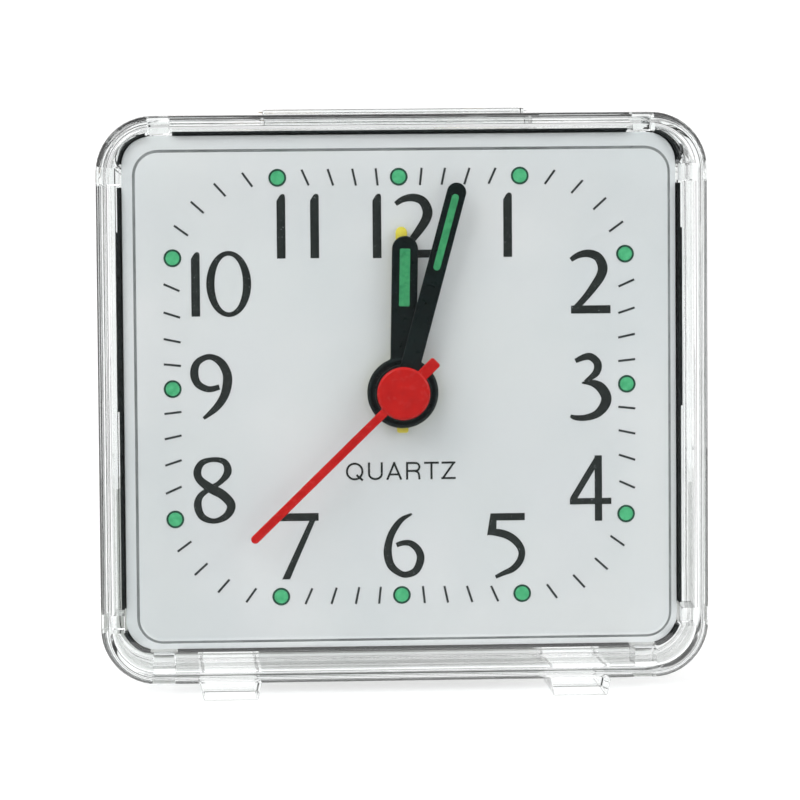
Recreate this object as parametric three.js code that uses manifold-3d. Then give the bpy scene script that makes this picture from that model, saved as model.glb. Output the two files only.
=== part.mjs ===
// A small square travel alarm clock: a clear plastic case in two shells, a printed dial with four hands,
// a quartz movement with its wheel train, one AA cell, a buzzer, two setting knobs, an alarm switch and
// a stop bar on top. Millimetres, +Z up, the dial faces -Y, and the feet stand on z = 0.
import * as THREE from "three";
import { mergeVertices } from "three/addons/utils/BufferGeometryUtils.js";
import Module from "manifold-3d";

const wasm = await Module();
wasm.setup();

// ---- Driving dimensions -------------------------------------------------------------------------

// Case, without its feet. Heights below are counted from the middle of the case.
const CASE_WIDTH = 58;
const CASE_HEIGHT = 54;
const CASE_CORNER = 5.4;
const WALL = 1;
const EDGE_ROUND = 0.8;
const FOOT_HEIGHT = 1.7;
const CASE_MIDDLE = FOOT_HEIGHT + CASE_HEIGHT / 2;

// Places along the depth, from the window at the front to the knobs at the back.
const WINDOW_FACE = -16.5;
const RIM_FACE = -16.1;
const WINDOW_INSIDE = -14.9;
const DIAL_FACE = -11.6;
const DIAL_BACK = -11.1;
const FRAME_FACE = -12.1;
const FRAME_BACK = -10.3;
const FRONT_PLATE_FACE = -10.9;
const FRONT_PLATE_BACK = -9.9;
const SEAM = -4;
const SEAM_GAP = 0.1;
const BRIDGE_FACE = 1.2;
const BRIDGE_BACK = 2;
const BOARD_FACE = 4.2;
const BOARD_BACK = 5;
const HOUSING_FLOOR = 6.2;
const HOUSING_BACK = 7;
const REAR_INSIDE = 13;
const REAR_FACE = 14.2;
const KNOB_FACE = 14.5;
const KNOB_END = 16.5;

// Window, dial and the black frame that carries the dial.
// The window and the dial sit a little above the middle of the case, and a hair to its left.
const WINDOW = { width: 50.8, height: 46.7, corner: 2.4, x: -0.1, z: 0.4 };
const DIAL = { width: 52.9, height: 49.1, corner: 2.8, x: -0.12, z: 0.48 };
const DIAL_HOLE = 2.9;
const FRAME_MARGIN = 0.45;
const FRAME_LIP = 0.3;
const FRAME_BOTTOM = 0.25;
const FRAME_OPENING = { width: 50.3, height: 46.7, corner: 2 };
const SIDE_TAB = { low: -1.2, high: 15.9, out: 0.15 };

// Posts that centre the frame in the case: two near each corner.
const TOP_POST = { offset: 23, width: 2.1 };
const SIDE_POST = { offset: 21.25, width: 1.7 };
const POST_END = -9;
const POST_CLEARANCE = 0.25;

// Feet: two under each shell.
const FOOT = { offset: 16.7, bottom: 5.2, top: 6.1 };
const FRONT_FOOT = [-15.4, -4.6];
const REAR_FOOT = [-3.4, 9.5];

// Screws that hold the shells together, in the two upper corners.
const CASE_SCREW = { x: 25.4, z: 23.4, head: 1.65, shank: 0.8, length: 8, seat: -1.2 };
const SCREW_BOSS = { radius: 2, span: [-10, -5.6] };
const SCREW_PILLAR = { radius: 2.5, bore: 1.9, hole: 1 };

// The rear shell's lip, which slides inside the front one.
const LIP = { root: WALL - 0.2, outer: WALL + 0.1, inner: WALL + 0.8, ahead: 1.4, behind: 1.3 };

// Wheel centre: the hands turn about this line.
const SHAFT_UP = 0.42;

// Wheel train. Each wheel and each pinion: teeth, module and the stretch of depth it fills.
const SECOND = {
  wheel: { teeth: 48, module: 0.25, span: [-3.6, -2.8] },
  pinion: { teeth: 6, module: 0.26, span: [-5.2, -3.6] },
};
const INTERMEDIATE = {
  wheel: { teeth: 40, module: 0.22, span: [-2.3, -1.5] },
  pinion: { teeth: 8, module: 0.25, span: [-3.9, -2.3] },
  angle: 55,
};
const ROTOR = {
  pinion: { teeth: 8, module: 0.22, span: [-2.5, -0.9] },
  magnet: { radius: 1.5, span: [-0.9, 0.5] },
  angle: 45,
};
const THIRD = {
  wheel: { teeth: 48, module: 0.26, span: [-5, -4.2] },
  pinion: { teeth: 6, span: [-6.6, -5] },
  angle: 125,
};
const CENTRE = { wheel: { teeth: 45, span: [-6.3, -5.6] } };
const CANNON = { pinion: { teeth: 10, module: 0.38, span: [-7.6, -6.6] } };
const MINUTE = {
  wheel: { teeth: 30, module: 0.38, span: [-7.4, -6.7] },
  pinion: { teeth: 8, module: 0.38, span: [-8.75, -7.4] },
  angle: -15,
};
const HOUR = { wheel: { teeth: 32, module: 0.38, span: [-8.6, -7.9] } };
const ALARM = { wheel: { teeth: 36, module: 0.32, span: [-9.6, -8.9] } };
const ALARM_IDLER = {
  pinion: { teeth: 12, module: 0.32, span: [-9.7, -8.8] },
  angle: 195,
};

// Nested tubes about the shaft: inner and outer radius, front and rear end.
const SECOND_ARBOR = 0.4;
const CANNON_TUBE = { inner: 0.55, outer: 1, span: [-13.8, -5.4] };
const HOUR_TUBE = { inner: 1.12, outer: 1.5, span: [-13.05, -7.9] };
const ALARM_TUBE = { inner: 1.65, outer: 2.1, span: [-12.35, -8.9] };
const TUBE_CLEARANCE = 0.12;

// Arbors: a thin pivot at each end of a thicker shaft.
const ARBOR = 0.4;
const PIVOT = 0.3;
const PIVOT_HOLE = 0.42;
const KNOB_ARBOR = 0.75;
const KNOB_ARBOR_HOLE = 1.2;

// Hands: length from the shaft, width, hub radius, depth of the blade, and the time they show.
const MINUTE_HAND = { length: 20.7, width: 1.8, hub: 2.7, span: [-13.75, -13.4], degrees: 15.3 };
const HOUR_HAND = { length: 14.8, width: 2.45, hub: 3.4, span: [-13.05, -12.65], degrees: 1.3 };
const ALARM_HAND = { length: 15.8, width: 1.1, tail: 3.9, hub: 3.1, span: [-12.35, -12.1], degrees: 0 };
const SECOND_HAND = {
  length: 20.2,
  width: 0.8,
  tail: 4.4,
  tailWidth: 1.1,
  hub: 2.53,
  span: [-14.4, -14.15],
  degrees: 226,
};

// Battery: an AA cell lying across the bottom of the case.
const CELL = { radius: 7.1, left: -24.3, right: 24.9, nub: 2.75, nubLength: 1, y: 5.6, z: -17.75 };

// The cell's contacts: sheet plates at its ends, strips to the board, and the spring at its flat end.
const CONTACT = { left: 25.6, right: 26.5, thick: 0.3, half: 4.2, plate: [1, 10], strip: [1.6, 3.6] };
const CONTACT_STEP = { inner: 20.2, low: -16, shelf: -6.7, high: 7.8 };
const CELL_SPRING = { large: 3.6, small: 2.2, near: 0.35, far: 1.15, turns: 2.5, wire: 0.25 };

// Movement housing: the box behind the dial and the battery bay below it.
const BOX = { half: 21.5, bottom: -10.3, top: 23.2, wall: 0.9 };
const BAY = { half: 27.6, bottom: -25.75, front: -2.4, back: 12, wall: 0.7 };

// Stepping motor: the stator's bar and legs, and the coil lying across its legs.
const STATOR = { left: -2, right: 18, low: 7, high: 12, leg: 3, top: 17.4, span: [-0.7, 0.1] };
const COIL = { z: 16.2, y: 0.6, left: 2, right: 13, flange: 2.7, winding: 2.4, tube: 1.55 };

// Posts on the front plate that carry the rear bridge of the train.
const BRIDGE_POSTS = [
  [12.8, 4.7],
  [-11.8, 2.7],
  [-7.8, 12.8],
];
const BRIDGE_POST = 0.75;
const BRIDGE = { width: 28, height: 15, corner: 1.5, x: 0.5, z: 5.9 };
const BRIDGE_SCREW = { head: 1.1, shank: 0.35, hole: 0.6, tapped: 0.45 };

// Circuit board and buzzer.
const BOARD = { half: 20, low: 6, high: 22.2 };
const BUZZER = { x: -11, z: 14.5, radius: 9.2, ceramic: 6.4, span: [10, 10.3] };
const SOUND_SLOT = { pitch: 2.6, width: 1.2, halves: [2.6, 4, 4.6, 4, 2.6] };
const CHIP = { x: -14, z: 15, radius: 2.1, height: 0.9 };
const QUARTZ = { left: -15, right: -9.4, radius: 1, wire: 0.25, z: 20 };
const LEAD_WINDOW = { left: -15.5, right: -6.5, low: 10.5, high: 13.5 };

// Alarm switch: a slider in a slot of the rear wall.
const SWITCH = { x: 15, z: 14, half: 2.3, tall: 2.8, travel: 3, gap: 0.2, proud: 1.2 };
const SWITCH_FLANGE = { half: 4.6, tall: 5, front: 12.1 };
const SWITCH_RAIL = { offset: 3.2, width: 0.7, past: 5.5, front: 11.4 };

// Stop bar in the top wall, the stem that presses its contact, and its spring.
const BAR = { half: 12.8, front: -1, back: 6.8, proud: 0.3, gap: 0.3, travel: 0.25 };
const BAR_STEM = { left: 7, right: 9, front: 2, back: 4 };
const BAR_FLANGE = { out: 1, low: 25, high: 25.8 };
const BAR_SPRING = { radius: 1.5, wire: 0.22, turns: 2.5, y: 2.9, low: 23.5, high: 24.75 };

// Spring strips that close the two alarm circuits.
const STRIP = 0.2;
const ALARM_STRIP = { x: -6.5, front: -9.4, low: 2, high: 15, foot: 1.3 };
const STOP_STRIP = { left: 4, right: 12, front: 1.5, back: 4.5, foot: 0.8 };

// Battery door in the rear wall, hung on its lower outer edge.
const DOOR = { half: 25.7, low: -24.3, high: -10, gap: 0.2 };
const DOOR_HOOK = { x: 13, half: 2.5, front: 12.2, thick: 0.55, reach: 0.9 };
const DOOR_RIB = { count: 3, half: 4, pitch: 1.3, width: 0.6, first: 1.2 };

const KNOB = { radius: 5, flutes: 20, flute: 0.35, hollow: 3.6, depth: 0.6, hub: 1.7 };

// ---- Shapes and solids --------------------------------------------------------------------------

// A closed three.js geometry as a solid.
function solid(geometry) {
  geometry.deleteAttribute("normal");
  geometry.deleteAttribute("uv");
  const merged = mergeVertices(geometry, 1e-4);
  const mesh = new wasm.Mesh({
    numProp: 3,
    vertProperties: merged.attributes.position.array,
    triVerts: new Uint32Array(merged.index.array),
  });
  return new wasm.Manifold(mesh);
}

// A rounded rectangle centred on (x, z).
function roundedRectangle(width, height, corner, x = 0, z = 0) {
  const right = x + width / 2 - corner;
  const left = x - width / 2 + corner;
  const top = z + height / 2 - corner;
  const bottom = z - height / 2 + corner;
  const shape = new THREE.Shape();
  shape.absarc(right, bottom, corner, -Math.PI / 2, 0);
  shape.absarc(right, top, corner, 0, Math.PI / 2);
  shape.absarc(left, top, corner, Math.PI / 2, Math.PI);
  shape.absarc(left, bottom, corner, Math.PI, 1.5 * Math.PI);
  shape.closePath();
  return shape;
}

// An upright outline (x across, z up) run along the depth from front to rear.
function slab(shape, front, rear, curveSegments = 5) {
  const geometry = new THREE.ExtrudeGeometry(shape, {
    depth: rear - front,
    bevelEnabled: false,
    curveSegments,
  });
  geometry.rotateX(Math.PI / 2);
  geometry.translate(0, rear, 0);
  return solid(geometry);
}

// The same with the edges of both ends rounded off.
function softSlab(shape, front, rear, round) {
  const geometry = new THREE.ExtrudeGeometry(shape, {
    depth: rear - front - 2 * round,
    bevelThickness: round,
    bevelSize: round,
    bevelOffset: -round,
    bevelSegments: 2,
    curveSegments: 6,
  });
  geometry.rotateX(Math.PI / 2);
  geometry.translate(0, rear - round, 0);
  return solid(geometry);
}

function block(left, right, front, rear, low, high) {
  const geometry = new THREE.BoxGeometry(right - left, rear - front, high - low);
  geometry.translate((left + right) / 2, (front + rear) / 2, (low + high) / 2);
  return solid(geometry);
}

// A round bar along the depth.
function disc(radius, [front, rear], x = 0, z = 0, sides = 16) {
  const geometry = new THREE.CylinderGeometry(radius, radius, rear - front, sides);
  geometry.translate(x, (front + rear) / 2, z);
  return solid(geometry);
}

// A round bar along the width.
function crossBar(radius, left, right, y, z, sides = 16) {
  const geometry = new THREE.CylinderGeometry(radius, radius, right - left, sides);
  geometry.rotateZ(Math.PI / 2);
  geometry.translate((left + right) / 2, y, z);
  return solid(geometry);
}

// A wire of round section along a curve.
function wire(curve, radius, steps, sides = 5) {
  const section = new THREE.Shape();
  for (let i = 0; i < sides; i += 1) {
    const turn = (2 * Math.PI * i) / sides;
    const point = [radius * Math.cos(turn), radius * Math.sin(turn)];
    if (i === 0) section.moveTo(...point);
    else section.lineTo(...point);
  }
  section.closePath();
  return solid(
    new THREE.ExtrudeGeometry(section, { steps, extrudePath: curve, bevelEnabled: false }),
  );
}

// The centre line of a coil about z, whose radius may change from one end to the other.
class Helix extends THREE.Curve {
  constructor(radiusLow, radiusHigh, low, high, turns) {
    super();
    Object.assign(this, { radiusLow, radiusHigh, low, high, turns });
  }

  getPoint(t, target = new THREE.Vector3()) {
    const angle = 2 * Math.PI * this.turns * t;
    const radius = THREE.MathUtils.lerp(this.radiusLow, this.radiusHigh, t);
    const height = THREE.MathUtils.lerp(this.low, this.high, t);
    return target.set(radius * Math.cos(angle), radius * Math.sin(angle), height);
  }
}

// ---- Gears --------------------------------------------------------------------------------------

const pitchRadius = ({ teeth, module }) => (teeth * module) / 2;
const radians = THREE.MathUtils.degToRad;

// A spur wheel with straight-sided teeth; one tooth stands at the angle phase, seen from the front.
function gear({ teeth, module, span }, phase) {
  const pitch = pitchRadius({ teeth, module });
  const root = pitch - 0.95 * module;
  const tip = pitch + 0.65 * module;
  const step = (2 * Math.PI) / teeth;
  const corners = [
    [root, -0.27],
    [tip, -0.1],
    [tip, 0.1],
    [root, 0.27],
  ];
  const points = [];
  for (let tooth = 0; tooth < teeth; tooth += 1) {
    for (const [radius, share] of corners) {
      const angle = phase + (tooth + share) * step;
      points.push(new THREE.Vector2(radius * Math.cos(angle), radius * Math.sin(angle)));
    }
  }
  return slab(new THREE.Shape(points), ...span);
}

// The phase that puts the second wheel in mesh with the first, which lies at the angle direction from it.
function meshedPhase(first, firstPhase, second, direction) {
  const toothShare = ((firstPhase - direction) * first.teeth) / (2 * Math.PI) + 0.5;
  return direction + Math.PI - (2 * Math.PI * toothShare) / second.teeth;
}

// A point at a distance and an angle from another, all in the plane of the dial.
function polar([x, z], distance, angle) {
  return [x + distance * Math.cos(angle), z + distance * Math.sin(angle)];
}

// The third wheel joins two pairs of wheels whose centres are the same, so one module follows.
const thirdDistance = pitchRadius(SECOND.pinion) + pitchRadius(THIRD.wheel);
const slowModule = (2 * thirdDistance) / (THIRD.pinion.teeth + CENTRE.wheel.teeth);
THIRD.pinion.module = slowModule;
CENTRE.wheel.module = slowModule;

const SHAFT = [0, 0];
const INTERMEDIATE_AT = polar(
  SHAFT,
  pitchRadius(SECOND.wheel) + pitchRadius(INTERMEDIATE.pinion),
  radians(INTERMEDIATE.angle),
);
const ROTOR_AT = polar(
  INTERMEDIATE_AT,
  pitchRadius(INTERMEDIATE.wheel) + pitchRadius(ROTOR.pinion),
  radians(ROTOR.angle),
);
const THIRD_AT = polar(SHAFT, thirdDistance, radians(THIRD.angle));
const MINUTE_AT = polar(
  SHAFT,
  pitchRadius(CANNON.pinion) + pitchRadius(MINUTE.wheel),
  radians(MINUTE.angle),
);
const ALARM_IDLER_AT = polar(
  SHAFT,
  pitchRadius(ALARM.wheel) + pitchRadius(ALARM_IDLER.pinion),
  radians(ALARM_IDLER.angle),
);

// A shaft with a pivot at each end, running in the front plate and the bridge.
function arbor(front = FRONT_PLATE_BACK + 0.1, rear = BRIDGE_FACE - 0.1) {
  return disc(ARBOR, [front, rear], 0, 0, 8).add(
    disc(PIVOT, [FRONT_PLATE_FACE + 0.3, BRIDGE_BACK - 0.2], 0, 0, 8),
  );
}

// The shaft of a wheel that a knob turns: it runs out through the rear wall.
function knobArbor() {
  return disc(KNOB_ARBOR, [FRONT_PLATE_BACK + 0.1, KNOB_FACE + 0.9], 0, 0, 16).add(
    disc(PIVOT, [FRONT_PLATE_FACE + 0.3, FRONT_PLATE_BACK + 0.2], 0, 0, 8),
  );
}

function secondWheel() {
  const shaft = disc(SECOND_ARBOR, [SECOND_HAND.span[1] + 0.02, BRIDGE_FACE - 0.1], 0, 0, 8).add(
    disc(PIVOT, [0, BRIDGE_BACK - 0.2], 0, 0, 8),
  );
  return gear(SECOND.wheel, 0).add(gear(SECOND.pinion, 0)).add(shaft);
}

function intermediateWheel() {
  const direction = radians(INTERMEDIATE.angle);
  const pinionPhase = meshedPhase(SECOND.wheel, 0, INTERMEDIATE.pinion, direction);
  return gear(INTERMEDIATE.wheel, 0).add(gear(INTERMEDIATE.pinion, pinionPhase)).add(arbor());
}

function rotor() {
  const phase = meshedPhase(INTERMEDIATE.wheel, 0, ROTOR.pinion, radians(ROTOR.angle));
  return gear(ROTOR.pinion, phase).add(disc(ROTOR.magnet.radius, ROTOR.magnet.span)).add(arbor());
}

function thirdWheel() {
  const wheelPhase = meshedPhase(SECOND.pinion, 0, THIRD.wheel, radians(THIRD.angle));
  return gear(THIRD.wheel, wheelPhase).add(gear(THIRD.pinion, 0)).add(arbor());
}

// The centre wheel drives the minute tube through a friction fit, so the hands can be set.
function centreWheel() {
  const back = radians(THIRD.angle) + Math.PI;
  const phase = meshedPhase(THIRD.pinion, 0, CENTRE.wheel, back);
  const bore = disc(CANNON_TUBE.outer + TUBE_CLEARANCE, [-8, 0]);
  return gear(CENTRE.wheel, phase).subtract(bore);
}

function cannonPinion() {
  const bore = disc(CANNON_TUBE.inner, [-20, 0]);
  return gear(CANNON.pinion, 0)
    .add(disc(CANNON_TUBE.outer, CANNON_TUBE.span))
    .subtract(bore);
}

function minuteWheel() {
  const phase = meshedPhase(CANNON.pinion, 0, MINUTE.wheel, radians(MINUTE.angle));
  return gear(MINUTE.wheel, phase).add(gear(MINUTE.pinion, 0)).add(knobArbor());
}

function hourWheel() {
  const back = radians(MINUTE.angle) + Math.PI;
  const phase = meshedPhase(MINUTE.pinion, 0, HOUR.wheel, back);
  const bore = disc(HOUR_TUBE.inner, [-20, 0]);
  return gear(HOUR.wheel, phase).add(disc(HOUR_TUBE.outer, HOUR_TUBE.span)).subtract(bore);
}

function alarmWheel() {
  const bore = disc(ALARM_TUBE.inner, [-20, 0]);
  return gear(ALARM.wheel, 0).add(disc(ALARM_TUBE.outer, ALARM_TUBE.span)).subtract(bore);
}

function alarmIdler() {
  const direction = radians(ALARM_IDLER.angle);
  const phase = meshedPhase(ALARM.wheel, 0, ALARM_IDLER.pinion, direction);
  return gear(ALARM_IDLER.pinion, phase).add(knobArbor());
}

// ---- Hands --------------------------------------------------------------------------------------

// A straight bar with a round tip, pointing up from the shaft, on a round hub.
function hand({ length, width, hub, span }) {
  const blade = roundedRectangle(width, length + width / 2, width / 2, 0, length / 2 - width / 4);
  return slab(blade, ...span).add(disc(hub, span, 0, 0, 24));
}

function minuteHand() {
  const [front, rear] = MINUTE_HAND.span;
  const collar = disc(1.7, [rear, rear + 0.25]);
  const bore = disc(CANNON_TUBE.outer + 0.05, [front - 1, rear + 1]);
  return hand(MINUTE_HAND).add(collar).subtract(bore);
}

function hourHand() {
  const [front, rear] = HOUR_HAND.span;
  const collar = disc(2.1, [rear, rear + 0.2]);
  const bore = disc(HOUR_TUBE.outer + 0.05, [front - 1, rear + 1]);
  return hand(HOUR_HAND).add(collar).subtract(bore);
}

function alarmHand() {
  const [front, rear] = ALARM_HAND.span;
  const tail = block(-ALARM_HAND.width / 2, ALARM_HAND.width / 2, front, rear, -ALARM_HAND.tail, 0);
  const bore = disc(ALARM_TUBE.outer + 0.05, [front - 1, rear + 1]);
  return hand(ALARM_HAND).add(tail).subtract(bore);
}

function secondHand() {
  const [front, rear] = SECOND_HAND.span;
  const tail = slab(
    roundedRectangle(SECOND_HAND.tailWidth, SECOND_HAND.tail, 0.5, 0, -SECOND_HAND.tail / 2),
    front,
    rear,
  );
  const cap = disc(SECOND_HAND.hub, [front - 0.2, rear], 0, 0, 24);
  const collar = disc(0.9, [rear, rear + 0.2]).subtract(disc(SECOND_ARBOR + 0.05, [rear, 0]));
  return hand({ ...SECOND_HAND, hub: 1 }).add(tail).add(cap).add(collar);
}

// ---- Case ---------------------------------------------------------------------------------------

const outline = (inset) =>
  roundedRectangle(CASE_WIDTH - 2 * inset, CASE_HEIGHT - 2 * inset, CASE_CORNER - inset);

// A foot tapers towards the table.
function foot(x, [front, rear]) {
  const bottom = -CASE_MIDDLE;
  const top = bottom + FOOT_HEIGHT + 0.4;
  const shape = new THREE.Shape([
    new THREE.Vector2(x - FOOT.bottom / 2, bottom),
    new THREE.Vector2(x + FOOT.bottom / 2, bottom),
    new THREE.Vector2(x + FOOT.top / 2, top),
    new THREE.Vector2(x - FOOT.top / 2, top),
  ]);
  return slab(shape, front, rear);
}

// The posts reach from the case walls to just short of the dial's edge.
function posts() {
  const sideIn = DIAL.width / 2 + 0.15;
  const topIn = DIAL.height / 2 + 0.15;
  const sideOut = (CASE_WIDTH - WALL) / 2;
  const topOut = (CASE_HEIGHT - WALL) / 2;
  const front = WINDOW_INSIDE - 0.3;
  const all = [];
  for (const x of [-TOP_POST.offset, TOP_POST.offset]) {
    const half = TOP_POST.width / 2;
    all.push(block(x - half, x + half, front, POST_END, DIAL.z + topIn, topOut));
    all.push(block(x - half, x + half, front, POST_END, -topOut, DIAL.z - topIn));
  }
  for (const z of [-SIDE_POST.offset, SIDE_POST.offset]) {
    const half = SIDE_POST.width / 2;
    all.push(block(DIAL.x + sideIn, sideOut, front, POST_END, z - half, z + half));
    all.push(block(-sideOut, DIAL.x - sideIn, front, POST_END, z - half, z + half));
  }
  return all;
}

function frontCover() {
  const back = SEAM - SEAM_GAP;
  let shell = softSlab(outline(0), RIM_FACE, back + EDGE_ROUND, EDGE_ROUND);
  const { width, height, corner, x: windowX, z: windowZ } = WINDOW;
  const window = roundedRectangle(width, height, corner, windowX, windowZ);
  shell = shell.add(slab(window, WINDOW_FACE, RIM_FACE + 0.5));
  shell = shell.subtract(slab(outline(WALL), WINDOW_INSIDE, back + 2));
  shell = shell.subtract(block(-40, 40, back, back + 3, -40, 40));
  for (const post of posts()) shell = shell.add(post);
  for (const side of [-1, 1]) {
    const x = side * CASE_SCREW.x;
    shell = shell.add(disc(SCREW_BOSS.radius, SCREW_BOSS.span, x, CASE_SCREW.z));
    shell = shell.subtract(disc(CASE_SCREW.shank + 0.15, [-11, -5], x, CASE_SCREW.z, 8));
    shell = shell.add(foot(side * FOOT.offset, FRONT_FOOT));
  }
  return shell;
}

function seamLip() {
  const root = slab(outline(LIP.root), SEAM + SEAM_GAP, SEAM + LIP.behind);
  const lip = slab(outline(LIP.outer), SEAM - LIP.ahead, SEAM + LIP.behind);
  return root.add(lip).subtract(slab(outline(LIP.inner), SEAM - 2, SEAM + 3));
}

function buzzerSeat() {
  const { x, z, radius, span } = BUZZER;
  const wall = disc(radius + 1, [span[0] - 0.4, REAR_INSIDE + 0.2], x, z, 24);
  const pocket = disc(radius + 0.2, [0, span[1] + 0.1], x, z, 24);
  const chamber = disc(radius - 1, [0, REAR_INSIDE], x, z, 24);
  return wall.subtract(pocket).subtract(chamber);
}

function soundSlots() {
  const { pitch, width, halves } = SOUND_SLOT;
  return halves.map((half, slot) => {
    const x = BUZZER.x + (slot - 2) * pitch;
    const sides = [x - width / 2, x + width / 2];
    return block(...sides, REAR_INSIDE - 1, REAR_FACE + 1, BUZZER.z - half, BUZZER.z + half);
  });
}

function switchRails() {
  const { offset, width, past, front } = SWITCH_RAIL;
  const left = SWITCH.x - past;
  const right = SWITCH.x + SWITCH.travel + past;
  return [-1, 1].map((side) => {
    const z = SWITCH.z + side * offset;
    return block(left, right, front, REAR_INSIDE + 0.2, z - width / 2, z + width / 2);
  });
}

function rearCase() {
  const front = SEAM + SEAM_GAP;
  let shell = softSlab(outline(0), front - EDGE_ROUND, REAR_FACE, EDGE_ROUND);
  shell = shell.subtract(block(-40, 40, front - 2, front, -40, 40));
  shell = shell.subtract(slab(outline(WALL), front - 1, REAR_INSIDE));
  shell = shell.add(seamLip()).add(buzzerSeat());
  for (const rail of switchRails()) shell = shell.add(rail);
  for (const side of [-1, 1]) {
    const x = side * CASE_SCREW.x;
    const { radius, bore, hole } = SCREW_PILLAR;
    const pillar = disc(radius, [SEAM - LIP.ahead, REAR_FACE - 0.5], x, CASE_SCREW.z);
    shell = shell.add(pillar.intersect(slab(outline(LIP.outer), -10, REAR_FACE)));
    shell = shell.subtract(disc(hole, [-8, 0], x, CASE_SCREW.z, 8));
    shell = shell.subtract(disc(bore, [CASE_SCREW.seat, REAR_FACE + 1], x, CASE_SCREW.z));
    shell = shell.add(foot(side * FOOT.offset, REAR_FOOT));
  }
  for (const slot of soundSlots()) shell = shell.subtract(slot);
  for (const [x, z] of [MINUTE_AT, ALARM_IDLER_AT]) {
    shell = shell.subtract(disc(KNOB_ARBOR_HOLE, [REAR_INSIDE - 1, REAR_FACE + 1], x, z + SHAFT_UP));
  }
  shell = shell.subtract(
    block(
      SWITCH.x - SWITCH.half - SWITCH.gap,
      SWITCH.x + SWITCH.half + SWITCH.travel + SWITCH.gap,
      REAR_INSIDE - 1,
      REAR_FACE + 1,
      SWITCH.z - SWITCH.tall / 2 - SWITCH.gap,
      SWITCH.z + SWITCH.tall / 2 + SWITCH.gap,
    ),
  );
  shell = shell.subtract(
    block(
      -DOOR.half - DOOR.gap,
      DOOR.half + DOOR.gap,
      REAR_INSIDE - 0.5,
      REAR_FACE + 1,
      DOOR.low - DOOR.gap,
      DOOR.high + DOOR.gap,
    ),
  );
  return shell.subtract(
    block(
      -BAR.half - BAR.gap,
      BAR.half + BAR.gap,
      BAR.front - BAR.gap,
      BAR.back + BAR.gap,
      CASE_HEIGHT / 2 - WALL - 0.5,
      CASE_HEIGHT / 2 + 1,
    ),
  );
}

// The door has two lips that hook behind the wall below it, and a ribbed thumb pad at the top.
function batteryDoor() {
  let door = block(-DOOR.half, DOOR.half, REAR_INSIDE, REAR_FACE, DOOR.low, DOOR.high);
  const { half, front, thick, reach } = DOOR_HOOK;
  for (const x of [-DOOR_HOOK.x, DOOR_HOOK.x]) {
    const sides = [x - half, x + half];
    door = door.add(block(...sides, front, REAR_INSIDE + 0.1, DOOR.low, DOOR.low + reach));
    door = door.add(block(...sides, front, front + thick, DOOR.low - reach, DOOR.low + reach));
  }
  for (let rib = 0; rib < DOOR_RIB.count; rib += 1) {
    const low = DOOR.high - DOOR_RIB.first - DOOR_RIB.width / 2 - rib * DOOR_RIB.pitch;
    const sides = [-DOOR_RIB.half, DOOR_RIB.half];
    door = door.add(block(...sides, REAR_FACE - 0.1, REAR_FACE + 0.3, low, low + DOOR_RIB.width));
  }
  return door;
}

function stopBar() {
  const top = CASE_HEIGHT / 2 + BAR.proud;
  const { out, low, high } = BAR_FLANGE;
  const cap = block(-BAR.half, BAR.half, BAR.front, BAR.back, low, top);
  const flange = block(-BAR.half - out, BAR.half + out, BAR.front - out, BAR.back + out, low, high);
  const stemLow = BOX.top + 0.05 + STRIP + BAR.travel + 0.05;
  const stem = block(...Object.values(BAR_STEM), stemLow, low + 0.1);
  return cap.add(flange).add(stem);
}

function stopBarSpring() {
  const { radius, wire: thickness, turns, low, high } = BAR_SPRING;
  return wire(new Helix(radius, radius, low, high, turns), thickness, 26);
}

function alarmSwitch() {
  const { x, z, half, tall, proud } = SWITCH;
  const base = SWITCH_FLANGE;
  const sides = [x - base.half, x + base.half];
  const flange = block(...sides, base.front, REAR_INSIDE - 0.1, z - base.tall / 2, z + base.tall / 2);
  const ends = [base.front + 0.4, REAR_FACE + proud];
  return flange.add(block(x - half, x + half, ...ends, z - tall / 2, z + tall / 2));
}

// A knob is fluted round its rim and has a blind hole for its arbor.
function knob() {
  const points = [];
  const step = (2 * Math.PI) / KNOB.flutes;
  for (let flute = 0; flute < KNOB.flutes; flute += 1) {
    for (const [share, depth] of [[0, KNOB.flute], [0.3, 0], [0.7, 0]]) {
      const angle = (flute + share) * step;
      const radius = KNOB.radius - depth;
      points.push(new THREE.Vector2(radius * Math.cos(angle), radius * Math.sin(angle)));
    }
  }
  const body = slab(new THREE.Shape(points), KNOB_FACE, KNOB_END);
  const hollow = disc(KNOB.hollow, [KNOB_END - KNOB.depth, KNOB_END + 1]);
  const hub = disc(KNOB.hub, [KNOB_FACE, KNOB_END - 0.1]);
  const bore = disc(KNOB_ARBOR + 0.1, [KNOB_FACE - 1, KNOB_FACE + 1], 0, 0, 16);
  return body.subtract(hollow).add(hub).subtract(bore);
}

function caseScrew() {
  const { head, shank, length, seat } = CASE_SCREW;
  const slot = block(-0.25, 0.25, seat + 0.7, seat + 2, -1.2, 1.2);
  return disc(head, [seat + 0.1, seat + 1.2])
    .add(disc(shank, [seat - length, seat + 0.2], 0, 0, 8))
    .subtract(slot);
}

// ---- Dial and its frame -------------------------------------------------------------------------

// A rounded rectangle about the middle of the dial.
function dialOutline(margin, { width, height, corner } = DIAL) {
  return roundedRectangle(width + 2 * margin, height + 2 * margin, corner + margin, DIAL.x, DIAL.z);
}

function dialPlate() {
  const hole = disc(DIAL_HOLE, [-20, 0], 0, SHAFT_UP, 24);
  return slab(dialOutline(0), DIAL_FACE, DIAL_BACK).subtract(hole);
}

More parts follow.
